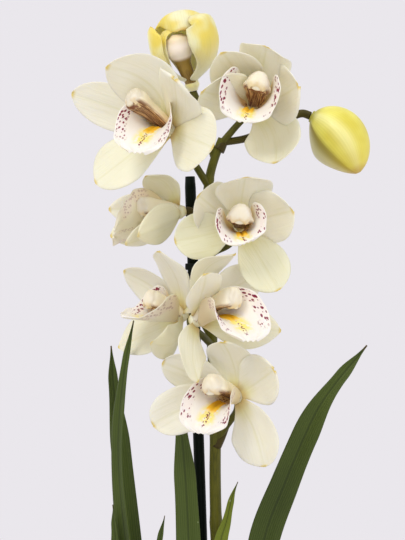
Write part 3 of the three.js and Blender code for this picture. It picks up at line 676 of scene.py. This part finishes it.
def column(shape, up, tip, arch=4, cap=8):
    """An arched rod, hollow below, with a wing on either side and a cap at its end."""
    end = vec(tip)
    curve = bezier([0, 0, 0], end * 0.5 + up * arch, end)
    stations = [[0, 0.62], [0.45, 0.74], [0.78, 1], [0.93, 0.86], [1, 0.4]]

    def radius(u, angle):
        lower = -cos(angle)
        flat = 1 - 0.4 * max(0, lower) ** 3 * (1 - ease(u, 0.8, 0.92))
        wings = 1 + 0.34 * bell(lower, 0.4, 0.32) * ease(u, 0.1, 0.4) * (1 - ease(u, 0.84, 0.96))
        return cap * along(stations, u) * flat * wings

    rings, sides = 40, 40
    rod(shape, curve, radius, rings, sides, up, slot=1, turn=np.tile(np.sin(circle(sides)), rings + 1))
    anther_cap(shape, curve(0.86), slope(curve, 1), up, cap)


def anther_cap(shape, centre, ahead, up, size, rings=16, sides=36):
    """A hood: narrower at the top, flattened in front, with two teeth and a notch at its lower rim."""
    over = unit(np.cross(ahead, up))
    up = np.cross(over, ahead)
    points, faces, faced = [], [], []
    for i in range(rings + 1):
        lat = pi * i / rings
        for lon in circle(sides):
            c = cos(lon)
            low = abs(lon - pi)
            teeth = 0.13 * bell(low, 0.5, 0.2) - 0.14 * bell(low, 0, 0.28)
            crease = 0.05 * bell(min(lon, 2 * pi - lon), 0, 0.16)
            r = size * sin(lat) * (1 + teeth - crease)
            tall = 1.02 if c > 0 else 0.84
            reach = size * cos(lat) * (0.66 if lat < pi / 2 else 1.05)
            aside = over * r * sin(lon) * (0.98 - 0.2 * c)
            points.append(centre + ahead * reach + up * r * tall * c + aside)
            faced.append(c * sin(lat))
    for i in range(rings):
        for k in range(sides):
            n = (k + 1) % sides
            here, there = i * sides, (i + 1) * sides
            if i == 0:
                faces.append((here + k, there + k, there + n))
            elif i == rings - 1:
                faces.append((here + k, there + k, here + n))
            else:
                faces.append((here + k, there + k, there + n, here + n))
    shape.add(points, faces, 2, faced=faced)


def hub(shape, facing):
    """The knob that a flower's tepals grow from."""
    stations = [[0, 0.66], [0.5, 1], [1, 0.7]]
    line = straight(-facing * HUB["back"], facing * HUB["front"])
    rod(shape, line, lambda u, a: HUB["radius"] * along(stations, u), 8, 20, (0.01, 0, 1), tone=0.8)


def lip(
    shape, facing, up, seed, tip, knee=None, side=None, lobes=29, front=21, hug=108, tall=1, pace=1,
):
    """A trough that starts below the column, rises in two side lobes and ends in a broad, frilled front.
    lobes and front are half widths, and hug is how far the lobes close in, in degrees."""
    end = vec(tip)
    foot = facing * LIP["foot"] - up * LIP["drop"]
    curve = bezier(foot, foot + facing * 24 if knee is None else knee, end)
    if side is None:
        outward = unit(end - facing * np.dot(end, facing))
        side = np.cross(unit(lerp(outward, -up, 0.5)), facing)
    halves = [
        [0, 6], [0.15, lobes * 0.7], [0.32, lobes * 0.95], [0.48, lobes], [0.64, lobes * 0.9],
        [0.8, front], [0.92, front * 0.8], [1, front * 0.3],
    ]
    cups = [[0, 70], [0.15, hug], [0.48, hug * 0.94], [0.64, hug * 0.66], [0.8, 42], [0.92, 26], [1, 14]]
    phase = np.random.default_rng(seed).uniform(0, 2 * pi, 2)

    def lift(u, v, x):
        u = u**pace
        waves = np.sin(9 * u + 4 * v) * np.abs(v) ** 3 * ease(u, 0.3, 0.7)
        fine = 0.5 * np.sin(30 * u + 7 * v + phase[0]) * np.abs(v) ** 4 * ease(u, 0.35, 0.6)
        frill = 0.7 * np.sin(11 * v + phase[1]) * ease(u, 0.82, 1)
        ridges = 2.0 * bell(np.abs(x), 2.2, 1.25) * ease(u, 0.2, 0.3) * (1 - ease(u, 0.54, 0.64))
        return waves + fine + frill + ridges

    blade(
        shape, LIP, curve, vec(side), lambda u: flow(halves, u**pace), lift, lambda u: flow(cups, u**pace),
        tall=tall, pace=pace, seed=float(seed),
    )


def row(tip, wide, **rest):
    return dict(tip=tip, wide=wide, **rest)


BLOOMS = [
    dict(
        at=[-21, -45, 592], turn=-48, nod=3, roll=-10,
        tepals=[
            row([-43, -24, 40], 43, bow=-8, sway=9, cup=24, face=[-0.3, -0.9, -0.3], curl=3),
            row([-71, 10, 27], 34, bow=-4, cup=16, point=0.25),
            row([4, -48, 27], 43, bow=-3, cup=14, face=[-0.7, -0.4, -0.6], curl=7),
            row([-54, 8, -37], 40, bow=3, cup=14, tone=0.7, point=0.35),
            row([30, -44, -18], 46, bow=2, cup=14, face=[-0.45, -0.85, 0.1], tone=0.6),
        ],
        column=dict(tip=[-28, -19, 21]),
        lip=dict(tip=[-22, -35, -20.5], knee=[-14, -8, 6], side=[-0.95, 0.12, 0.05], turn=-40),
        pedicel=[[6, 0, 556], [-6, -18, 574]],
    ),
    dict(
        at=[40, -15, 613], turn=-15, nod=2, roll=16,
        tepals=[
            row([7, -33, 37], 42, hump=[2, 3, 8], cup=26, curl=5),
            row([-24, -34, 33], 40, bow=-8, cup=26),
            row([29, -37, 9], 45, bow=-9, cup=30, curl=4),
            row([-38, -32, 6], 45, bow=-2, cup=16, face=[-0.5, -0.8, -0.2], tone=0.6),
            row([14, -20, -44], 44, bow=-4, sway=-5, cup=24, tone=0.6),
        ],
        column=dict(tip=[1.5, -31, 14], cap=8.4),
        lip=dict(tip=[-9, -37, -17], turn=-10, lobes=31, tall=1.35),
        pedicel=[[15, 0, 586], [29, -3, 602]],
    ),
    dict(
        at=[-16, -3, 536], turn=-70, nod=10, roll=0,
        tepals=[
            row([-24, -10, 26], 36, bow=-7, cup=24, face=[-0.52, -0.53, -0.67], tone=0.6),
            row([-54, 20, 3], 27, bow=-4, cup=16, point=0.6),
            row([-28, -42, -19], 30, bow=-6, cup=10, keel=0.25, tone=0.8, point=0.7),
            row([-52, 12, -18], 28, bow=-2, cup=16, tone=0.8, point=0.6),
            row([-38, -27, -25], 32, bow=-4, cup=20, tone=0.6, point=0.8),
        ],
        column=dict(tip=[-30, -9, 2]),
        lip=dict(tip=[-47, -16, -17], turn=-100, lobes=27, front=18, hug=70, tall=1.25),
        pedicel=[[5, 0, 530], [-1, -1, 535]],
    ),
    dict(
        at=[29, -30, 524], turn=12, nod=5, roll=6,
        tepals=[
            row([3, -30, 33], 43, hump=[0, 3, 7], cup=26),
            row([-30, -24, 21], 38, bow=-8, cup=20),
            row([36, -26, 10], 40, bow=-6, cup=20),
            row([-47, -12, -11], 34, bow=3, cup=14, tone=1.0, point=0.3),
            row([27, -12, -46], 36, bow=3, cup=14, tone=1.0, point=0.3),
        ],
        column=dict(tip=[-1, -31, 7]),
        lip=dict(tip=[3, -33, -13], turn=0, roll=0, lobes=26, front=18, tall=1.2),
        pedicel=[[4.8, 0, 501], [11, -4, 506], [21, -8, 511]],
    ),
    dict(
        at=[-14, -6, 459], turn=-68, nod=0, roll=0,
        tepals=[
            row([-16, -30, 47], 34, bow=-5, cup=16, face=[-0.65, -0.52, -0.55], curl=3.5,
                 point=0.7),
            row([-44, 15, 33], 32, bow=-4, cup=16, point=0.3),
            row([8, -24, 22], 24, bow=-3, cup=20),
            row([-48, 13, -25], 34, bow=0, cup=14, tone=0.6, point=0.8),
            row([-21, -38, -18], 26, hump=[4, -2, -8], cup=18, face=[-0.9, 0.42, 0.13],
                 tone=0.7, point=0.9),
        ],
        column=dict(tip=[-26, -11, 12]),
        lip=dict(tip=[-43, -18, 0], knee=[-20, -10, -5], side=[-0.35, 0.9, 0.22], lobes=26, front=16,
                 hug=112, tall=1.3, pace=0.66),
        pedicel=[[8, 0, 443], [1, -2, 454]],
    ),
    dict(
        at=[-2, -42, 457], turn=52, nod=2, roll=0,
        tepals=[
            row([27, -10, 46], 38, bow=-13, sway=-2, cup=24, face=[0.62, -0.4, -0.66], curl=3,
                 point=0.8),
            row([6, -36, 33], 30, bow=-2, sway=3, cup=10, face=[0.45, -0.88, 0.05], point=0.5),
            row([46, 15, 34], 36, bow=-4, cup=16),
            row([1, -16, -42.5], 32, bow=2, sway=9, cup=14, tone=0.6, point=1),
            row([60, 4, -8], 33, bow=0, cup=14, tone=0.6, point=0.9),
        ],
        column=dict(tip=[30, -15, 15], arch=10, cap=8.4),
        lip=dict(tip=[36, -33, -13], knee=[27, -6, 11], side=[-0.75, -0.6, -0.25], turn=40, lobes=28),
        pedicel=[[9, 0, 436], [2, -16, 444], [-6, -29, 452]],
    ),
    dict(
        at=[26, -35, 402], turn=-32, nod=8, roll=-4,
        tepals=[
            row([-10, -17, 40], 41, bow=-7, cup=14),
            row([-53, 4, 24], 30, bow=-3, cup=14),
            row([25, -33, 22], 38, bow=-3, cup=16),
            row([-60, 2, -21], 34, bow=2, sway=4, cup=14),
            row([19, -20, -47], 38, bow=2, sway=-4, cup=16),
        ],
        column=dict(tip=[-20, -28, 11], cap=8.2),
        lip=dict(tip=[-25, -32, -22], knee=[-19, -18, 0], turn=-26, lobes=26, front=20),
        pedicel=[[11.3, 0, 364], [20, -6, 377], [27, -16, 389]],
    ),
]


AXES = ("turn", "nod", "roll")


def bloom(spec, number):
    """A bloom and its lip. The lip's own turn, nod or roll takes the place of the bloom's."""
    name, at = f"bloom_{number}", spec["at"]
    facing, up = bloom_axes(*(spec[key] for key in AXES))
    cream = Shape()
    hub(cream, facing)
    for n, one in enumerate(spec["tepals"]):
        tepal(cream, facing, 100 * number + n, **one)
    column(cream, up, **spec["column"])
    cream.piece(name + "_petals", ["tepal", "column", "cap"], name, "tepal", at)
    white = Shape()
    own = dict(spec["lip"])
    facing, up = bloom_axes(*(own.pop(key, spec[key]) for key in AXES))
    lip(white, facing, up, 10 + number, **own)
    white.piece(name + "_white_lip", ["lip"], name + "_lip", "lip", at)


# ---- buds

FULL = [[0, 0], [0.5, 0.58], [0.78, 0.94], [0.92, 1], [1, 0.98]]
SLIM = [[0, 0], [0.45, 0.52], [0.75, 0.84], [1, 1]]
OPEN_BUD = dict(
    at=[-6, 6, 633], axis=[-0.19, -0.3, 1], length=54, core=11, lean=[-5, -7, 0],
    tepals=[
        dict(
            clock=180, long=1, girth=20, wide=46, cup=54, reach=[0.7, 1, 0.62, -0.12, -0.72],
            rise=[[0, 0], [0.45, 0.6], [0.68, 0.96], [0.84, 1], [1, 0.77]],
        ),
        dict(clock=-82, long=0.88, girth=25, wide=36, cup=44, reach=[0.7, 1, 1.04, 1, 0.92], rise=SLIM),
        dict(clock=62, long=0.93, girth=25, wide=50, cup=58, reach=[0.7, 1, 0.97, 0.75, 0.3]),
        dict(clock=-84, long=0.8, girth=19, wide=26, cup=40, reach=[0.7, 1, 0.95, 0.6, 0.1]),
        dict(clock=74, long=0.8, girth=18, wide=28, cup=40, reach=[0.7, 1, 0.95, 0.65, 0.1]),
    ],
)
CLOSED_BUD = dict(
    start=[84, 2.95, 608.2], bend=[106, -2, 596], end=[118, -4, 565], girth=21.5, ridge=1.6, seam_at=0.7,
    rings=48, sides=72,
)


def bud_tepal(shape, axis, front, girth, wide, cup, clock, long, reach, seed, rise=FULL):
    """A tepal that stands round the bud's axis: clock is its place in degrees, reach how far it stands off at
    five heights, and rise how high it is along its length."""
    outward = turned(front, axis, radians(clock))
    phase = np.random.default_rng(seed).uniform(0, 6, 2)
    bulge = list(zip((0, 0.2, 0.45, 0.7, 0.88, 1), (0, *reach)))

    def centre(u):
        return outward * girth * flow(bulge, u) + axis * OPEN_BUD["length"] * long * flow(rise, u)

    def lift(u, v, x):
        waves = 0.6 * np.abs(v) ** 3 * np.sin(8 * u + phase[0] + 2 * v) * ease(u, 0.2, 0.6)
        return waves + 0.5 * np.sin(4 * v + phase[1]) * sin(pi * u)

    blade(
        shape, TEPAL, centre, np.cross(outward, axis), lambda u: wide / 2 * tepal_half(u), lift,
        lambda u: cup,
    )


def opening_bud():
    """Five tepals round a folded lip."""
    axis = unit(vec(OPEN_BUD["axis"]))
    front = unit(vec([0, -1, 0]) + axis * axis[1])
    shape = Shape()
    hub(shape, axis)
    for n, one in enumerate(OPEN_BUD["tepals"]):
        bud_tepal(shape, axis, front, seed=n, **one)
    swell = [[0, 0.4], [0.4, 0.5], [0.72, 1], [0.92, 0.8], [1, 0.35]]
    lean = vec(OPEN_BUD["lean"])
    core = bezier([0, 0, 0], lean + axis * 17, lean + axis * 36)

    def core_radius(u, a):
        return OPEN_BUD["core"] * along(swell, u) * (1 + 0.05 * sin(3 * a))

    rod(shape, core, core_radius, 24, 24, slot=1)
    shape.piece("opening_bud_petals", ["open_bud", "bud_lip"], "opening_bud", "opening_bud", OPEN_BUD["at"])


def closed_bud():
    """An egg whose three outer tepals meet in low ridges, with a seam beside each ridge."""
    bud = CLOSED_BUD
    curve = bezier(bud["start"], bud["bend"], bud["end"])
    rings, sides, seam_at = bud["rings"], bud["sides"], bud["seam_at"]
    forward = vec([0, -1, 0.01])
    points = []
    values = {key: [] for key in ("along", "ridge", "seam", "under", "turn")}
    for i in range(rings + 1):
        u = i / rings
        tangent = slope(curve, u)
        out = unit(forward - tangent * np.dot(forward, tangent))
        over = np.cross(tangent, out)
        swell = sin(pi * u)
        belly = bud["girth"] * sin(pi * min(max(u, 0.02), 0.995)) ** 0.56
        for a in circle(sides):
            crest = max(0, cos(3 * a)) ** 3
            under = np.clip((a - seam_at + 0.02) / 0.8, 0, 1) * (1 - ease(a, 3.0, 3.4))
            seam = bell(sin(1.5 * (a - seam_at)), 0, 0.09) * swell**0.5
            r = belly + bud["ridge"] * crest * swell - 0.7 * seam
            points.append(curve(u) + r * (out * cos(a) + over * sin(a)))
            for key, value in zip(values, (u, crest, seam, under, a)):
                values[key].append(value)
    shape = Shape()
    shape.add(points, tube(rings, sides), **values)
    shape.piece("closed_bud_egg", ["closed_bud"], "closed_bud", "closed_bud")


# ---- the flower spike

RACHIS = [
    [18, 0, 84], [17.6, 0, 124], [15.5, 0, 200], [12, 0, 300], [11.3, 0, 340], [11.4, 0, 366], [10.6, 0, 400],
    [9, 0, 437], [6, 0, 480], [4.2, 0, 520], [5.4, 0, 548], [8, 0, 566], [13, 0, 582], [16.5, 0, 591],
]
BUD_STALKS = [
    [[11, 0, 575], [5, 3, 598], [0, 6, 614], [-5.5, 7.7, 627.6]],
    [[16, 0, 588], [36, 3, 592], [60, 5, 603], [76.5, 4.7, 610.6], [83.3, 3.1, 608.6]],
]
BRACTS = [
    [[11.5, 0, 360], [24, -1, 383]], [[5, 0, 504], [14, -2, 514]], [[4.6, 0, 524], [-4, -1, 540]],
    [[14, 0, 582], [22, 1, 596]], [[14, 0, 236], [20, -3, 262]],
]


NODES = [0.235, 0.4, 0.55, 0.66, 0.74, 0.82]  # where the stem swells, as shares of its length


def flower_spike():
    """The stem with the stalks of the blooms and buds, and a pointed bract below some of them."""
    shape = Shape()
    pedicel = [[0, 1.05], [0.6, 0.95], [0.9, 1.25], [1, 1.1]]

    def stem_radius(u, angle):
        swell = sum(bell(u, node, 0.008) for node in NODES)
        ribs = 1 + 0.02 * sin(5 * angle)
        return lerp(STEM["foot"], STEM["tip"], u**1.4) * (1 + 0.12 * swell) * ribs

    def pedicel_radius(u, angle):
        return STEM["pedicel"] * along(pedicel, u) * (1 + 0.05 * sin(6 * angle))

    rod(shape, smooth_curve(RACHIS), stem_radius, 220, 24)
    for path, brown in zip(BUD_STALKS, (0.25, 0.6)):
        rod(shape, smooth_curve(path), lambda u, a: STEM["pedicel"] * lerp(1.05, 1.2, u), 40, 16, brown=brown)
    for number, spec in enumerate(BLOOMS, 1):
        facing, _ = bloom_axes(*(spec[key] for key in AXES))
        back = vec(spec["at"]) - facing * (HUB["back"] + GAP)
        brown = 0.8 if number == 3 else 0.2
        rod(shape, smooth_curve([*spec["pedicel"], back]), pedicel_radius, 36, 24, brown=brown)
    for start, end in BRACTS:
        rod(shape, straight(start, end), lambda u, a: lerp(4.4, 0.5, u**1.6), 12, 16, brown=0.75)
    shape.piece("flower_spike_stem", ["stem"], "flower_spike", "spike")


# ---- stake and tie


def stake():
    """A ribbed rod with a worn top edge."""
    shape = Shape()
    line = straight(STAKE["bottom"], STAKE["top"])
    half = STAKE["width"] / 2

    def radius(u, angle):
        return half * (1 - 0.12 * ease(u, 0.994, 1.0)) * (1 - 0.03 * (0.5 + 0.5 * sin(12 * angle)))

    rod(shape, line, radius, 60, 48)
    shape.piece("stake_rod", ["stake"], "stake", "stake")


def tie():
    """A band round the stake and the stem, with a soft round edge."""
    share = (TIE["height"] - STAKE["bottom"][2]) / (STAKE["top"][2] - STAKE["bottom"][2])
    post = lerp(vec(STAKE["bottom"]), vec(STAKE["top"]), share)
    stem = vec([TIE["stem_at"], 0, TIE["height"]])
    towards = atan2(stem[1] - post[1], stem[0] - post[0])
    middle = STAKE["width"] / 2 + TIE["clear"] + TIE["wall"] / 2
    steps, sides = 12, 16
    outline = []
    for centre, first in ((post, towards + pi / 2), (stem, towards - pi / 2)):
        for n in range(steps + 1):
            a = first + pi * n / steps
            outline.append((vec([centre[0], centre[1], 0]), vec([cos(a), sin(a), 0])))
    section = []
    for a in circle(sides):
        squash = (abs(cos(a)) ** 4 + abs(sin(a)) ** 4) ** -0.25
        section.append((cos(a) * squash * TIE["wall"] / 2, sin(a) * squash * TIE["tall"] / 2))
    points = [c + d * (middle + r) + UP * (TIE["height"] + z) for c, d in outline for r, z in section]
    faces, rings = [], len(outline)
    for i in range(rings):
        here, there = i * sides, (i + 1) % rings * sides
        for k in range(sides):
            n = (k + 1) % sides
            faces.append((here + k, there + k, there + n, here + n))
    shape = Shape()
    shape.add(points, faces)
    shape.piece("tie_band", ["tie"], "tie", "tie")


# ---- shoots

# Each leaf has its path, its width and its side, and how young it is if it is.
SHOOTS = [
    dict(
        name="shoot_left", at=[-36, -4], bulb=17, tall=74,
        leaves=[
            ([[-34, -6, 165], [-44, -10, 230], [-55, -12, 297], [-60, -11, 362], [-56, -10, 415],
              [-49.2, -8, 455]], 15, [0.72, -0.69, 0]),
            ([[-38, 0, 165], [-46, 6, 225], [-54, 10, 288], [-61, 11, 360], [-66, 10, 406],
              [-67.5, 9, 435]], 18, [0.95, 0.3, 0]),
            ([[-40, -8, 165], [-52, -14, 225], [-60, -16, 280], [-64, -16, 320]], 13, [0.8, -0.6, 0]),
            ([[-42, -4, 160], [-74, -10, 225], [-120, -22, 262], [-172, -36, 250], [-216, -48, 205]],
             20, [0.25, 1, 0]),
            ([[-40, 2, 160], [-66, 28, 222], [-100, 66, 252], [-136, 108, 232], [-160, 140, 190]],
             19, [0.75, 0.6, 0]),
        ],
    ),
    dict(
        name="shoot_front", at=[-3, -33], bulb=16, tall=68,
        leaves=[
            ([[-4, -30, 160], [-6, -22, 220], [-8.2, -12, 291], [-10.6, -8, 336], [-13.6, -7, 373],
              [-16, -6, 405]], 19, [1, -0.1, 0]),
            ([[2, -34, 160], [7, -26, 225], [15.2, -14, 293], [19.3, -12, 306], [24, -12, 326],
              [28, -12, 336]], 12, [0.95, 0.1, -0.3], 1.0),
            ([[-8, -34, 160], [-20, -26, 225], [-30, -16, 285], [-26, -12, 311]], 11, [0.95, -0.3, 0]),
            ([[0, -38, 160], [10, -62, 212], [26, -104, 236], [46, -150, 214], [60, -182, 176]],
             18, [1, 0.3, 0]),
        ],
    ),
    dict(
        name="shoot_right", at=[42, 5], bulb=17, tall=72,
        leaves=[
            ([[40, 5, 165], [42, 2, 230], [48, 0, 290], [63.8, 0, 333], [78, 0, 367], [89.3, 0, 390],
              [103.5, 0, 410], [125.3, 0, 436]], 23, [0.94, -0.1, -0.3]),
            ([[46, 8, 160], [72, 16, 218], [112, 26, 256], [160, 36, 250], [206, 44, 206]], 20, [-0.2, 1, 0]),
            ([[44, 0, 160], [66, -22, 212], [98, -54, 244], [136, -90, 232], [164, -118, 192]],
             19, [0.7, 0.7, 0]),
        ],
    ),
    dict(
        name="shoot_back", at=[-4, 41], bulb=16, tall=66,
        leaves=[
            ([[-2, 44, 158], [4, 66, 208], [16, 104, 238], [32, 150, 222], [42, 186, 178]], 19, [1, -0.3, 0]),
            ([[2, 42, 158], [24, 58, 212], [58, 82, 240], [98, 108, 222], [126, 126, 184]],
             19, [0.6, -0.8, 0]),
            ([[-8, 44, 158], [-18, 70, 206], [-34, 108, 230], [-52, 150, 208], [-62, 178, 170]],
             18, [1, 0.3, 0]),
        ],
    ),
]


def leaf(shape, seed, path, wide, side, young=0.0):
    """A long blade with a fold along its middle."""
    curve = even(smooth_curve(path))
    stations = [[0, 0.62], [0.45, 1], [0.72, 0.86], [0.9, 0.42], [1, 0.04]]
    phase = np.random.default_rng(seed).uniform(0, 6, 2)

    def lift(u, v, x):
        return 0.5 * np.abs(v) * np.sin(11 * u + phase[0] + 2 * v) + 0.15 * np.sin(9 * v + phase[1])

    blade(
        shape, LEAF, curve, vec(side), lambda u: wide / 2 * along(stations, u), lift, keel=LEAF["fold"],
        young=young,
    )


def shoot(spec, number):
    """A bulb wrapped in sheaths, with its leaves."""
    shape = Shape()
    low = MIX_LEVEL - BULB["depth"]
    line = straight([*spec["at"], low], [*spec["at"], low + spec["tall"]])
    stations = [[0, 0.45], [0.25, 0.92], [0.4, 1], [0.75, 0.72], [1, 0.4]]
    rings, sides = BULB["rings"], BULB["sides"]
    phases = (number, 2.7, 4.4)

    def rims(a):
        return [height + sway * sin(a + phase) for (height, sway), phase in zip(SHEATHS, phases)]

    def sheaths(u, a):
        ribs = 0.02 * sin(2 * a + 9 * u) + 0.01 * sin(24 * a)
        return 0.96 + ribs + sum(0.035 * (1 - ease(u, rim, rim + 0.012)) for rim in rims(a))

    grid = [(i / rings, a) for i in range(rings + 1) for a in circle(sides)]
    rod(
        shape, line, lambda u, a: spec["bulb"] * 0.97 * along(stations, u) * sheaths(u, a), rings, sides,
        slot=1, turn=[sin(a) for _, a in grid],
        crease=[max(bell(u, rim + 0.02, 0.014) for rim in rims(a)) for u, a in grid],
        edge=[max(bell(u, rim, 0.008) for rim in rims(a)) for u, a in grid],
    )
    for n, one in enumerate(spec["leaves"]):
        leaf(shape, 10 * number + n, *one)
    shape.piece(spec["name"] + "_leaves", ["leaf", "bulb"], spec["name"], "leaf")


# ---- pot and bark


def lathe(shape, profile, sides, **values):
    """A solid with a ring of points for each (radius, height) and a flat face at either end."""
    points = [[r * cos(a), r * sin(a), height] for r, height in profile for a in circle(sides)]
    shape.add(points, tube(len(profile) - 1, sides), **values)


def drilled(piece, places, radius, reach):
    """The piece with round upright holes through it, up to the height of reach."""
    holes = Shape()
    for x, y in places:
        rod(holes, straight([x, y, -reach], [x, y, reach]), lambda u, a: radius, 1, 40, side=(1, 0, 0))
    cutter = holes.object("drain_holes", [])
    cut = piece.modifiers.new("drain_holes", "BOOLEAN")
    cut.operation, cut.solver, cut.object = "DIFFERENCE", "EXACT", cutter
    bpy.context.view_layer.update()
    piece.data = bpy.data.meshes.new_from_object(piece.evaluated_get(bpy.context.evaluated_depsgraph_get()))
    piece.modifiers.clear()
    bpy.data.objects.remove(cutter)
    piece.data.set_sharp_from_angle(angle=radians(40))
    return piece


def rounded(corners, radius=1.2, steps=5):
    """A profile with each inner corner rounded off."""
    out = [corners[0]]
    for before, corner, after in zip(corners, corners[1:], corners[2:]):
        before, corner, after = vec(before), vec(corner), vec(after)
        reach = [min(radius, np.linalg.norm(p - corner) * 0.45) for p in (before, after)]
        a, b = corner + unit(before - corner) * reach[0], corner + unit(after - corner) * reach[1]
        curve = bezier(a, corner, b)
        out += [list(curve(t)) for t in np.linspace(0, 1, steps)]
    return out + [corners[-1]]


def pot():
    """A plain round pot with a groove round its rim and drain holes in its floor."""
    foot, belly, rim, wall, middle = (POT[key] for key in ("foot", "belly", "rim", "wall", "middle"))
    floor_top, top = POT["floor"], POT["height"]
    shoulder, inside = top - POT["rim_deep"], rim - wall - 2
    groove = [[rim, shoulder + 6], [rim - 0.5, shoulder + 6.8], [rim, shoulder + 7.6]]
    profile = [
        [middle, 0], [foot, 0], [belly, shoulder], [rim, shoulder], *groove, [rim, top], [inside, top],
        [inside, shoulder + 3], [belly - wall, shoulder], [foot - wall, floor_top], [middle, floor_top],
    ]
    shape = Shape()
    lathe(shape, rounded(profile), 128)
    angles = [(k + 0.5) / DRAIN["count"] * 2 * pi for k in range(DRAIN["count"])]
    places = [(DRAIN["ring"] * cos(a), DRAIN["ring"] * sin(a)) for a in angles]
    shell = drilled(shape.object("pot_shell", [MATERIALS["pot"]]), places, DRAIN["radius"], 2 * floor_top)
    finish_piece(shell, "pot")


def cube_faces(cube, shell):
    """The four quads on each side of a cube of 27 points."""
    quads = []
    for d in range(3):
        for s in (-1, 1):
            flat = [i for i in shell if cube[i][d] == s]
            grid = [[i for i in flat if cube[i][(d + 1) % 3] == r] for r in (-1, 0, 1)]
            grid = [sorted(row, key=lambda i: cube[i][(d + 2) % 3]) for row in grid]
            for r in (0, 1):
                for c in (0, 1):
                    quad = [grid[r][c], grid[r + 1][c], grid[r + 1][c + 1], grid[r][c + 1]]
                    quads.append(quad if s > 0 else quad[::-1])
    return quads


def bark():
    """Chunks of bark on a plug of the same."""
    shape = Shape()
    low, top = POT["floor"] + 1, MIX_LEVEL - 1.5
    middle, wide = POT["middle"], POT["belly"] - POT["wall"] - GAP - 0.4
    lathe(shape, [[middle, low], [POT["foot"] - 4, low], [wide, top], [middle, top]], 64, tone=0.2)
    rng = np.random.default_rng(BARK["seed"])
    cube = np.array([[x, y, z] for x in (-1, 0, 1) for y in (-1, 0, 1) for z in (-1, 0, 1)], float)
    shell = [i for i, point in enumerate(cube) if point.any()]
    quads = [tuple(shell.index(i) for i in quad) for quad in cube_faces(cube, shell)]
    for k in range(BARK["chunks"]):
        ring = (wide - 5) * sqrt((k + 0.5) / BARK["chunks"])
        a = k * BARK["golden_angle"]
        size = rng.uniform(3.2, 6.4)
        spot = vec([ring * cos(a), ring * sin(a), MIX_LEVEL + rng.uniform(-1, 2.2)])
        form = cube[shell] * [size, size * rng.uniform(0.6, 1), size * rng.uniform(0.3, 0.5)]
        form *= 1 + rng.uniform(-0.16, 0.16, (len(shell), 1))
        form *= np.where(np.abs(cube[shell]).sum(1) == 3, 0.84, 1.0)[:, None]
        turn, tilt = rng.uniform(0, 6.28), rng.uniform(-0.4, 0.4)
        for axis, angle in ((vec([1, 0, 0]), tilt), (UP, turn)):
            form = np.array([turned(q, axis, angle) for q in form])
        shape.add(form + spot, quads, tone=rng.uniform(0, 1))
    shape.piece("bark_chunks", ["bark"], "potting_mix", "potting_mix")


# ---- the whole plant

for number, spec in enumerate(BLOOMS, 1):
    bloom(spec, number)
for build in (opening_bud, closed_bud, flower_spike, stake, tie, pot, bark):
    build()
for number, spec in enumerate(SHOOTS, 1):
    shoot(spec, number)

# ---- floor, light and camera


def floor():
    shape = Shape()
    rim = [[FLOOR["radius"] * cos(a), FLOOR["radius"] * sin(a), 0] for a in circle(FLOOR["sides"])]
    shape.add(rim, [tuple(range(len(rim)))])
    g = Graph("pale_floor", 0.8)
    g.base(g.grain(2), (232, 229, 232), (226, 223, 226))
    shape.object("floor", [g.done(g.grain(60, 2), 0.05, 0.001)])


def area_light(name, where, target, size, power, colour=(1, 1, 1)):
    data = bpy.data.lights.new(name, "AREA")
    data.shape = "DISK"
    data.size, data.energy, data.color = size, power, colour
    made = bpy.data.objects.new(name, data)
    made.location = where
    made.rotation_euler = (Vector(target) - Vector(where)).to_track_quat("-Z", "Y").to_euler()
    bpy.context.scene.collection.objects.link(made)


def camera():
    """As far in front as the photograph's perspective asks, level with the middle of the flowers."""
    data = bpy.data.cameras.new("camera")
    data.lens, data.sensor_width = CAMERA["lens"], CAMERA["sensor"]
    made = bpy.data.objects.new("camera", data)
    made.location = CAMERA["at"]
    made.rotation_euler = (radians(90), 0, 0)
    bpy.context.scene.collection.objects.link(made)
    bpy.context.scene.camera = made


def world():
    scene = bpy.context.scene
    scene.world = bpy.data.worlds.new("studio")
    scene.world.use_nodes = True
    background = scene.world.node_tree.nodes["Background"]
    background.inputs["Color"].default_value = srgb(234, 231, 236)
    background.inputs["Strength"].default_value = 1.0
    scene.view_settings.view_transform = "Standard"


floor()
world()
area_light("key", (-0.7, -1.1, 1.7), (0, 0, 0.45), 0.7, 9.9, (1, 0.98, 0.94))
area_light("fill", (1.2, -0.9, 0.9), (0, 0, 0.45), 1.2, 3.6)
camera()
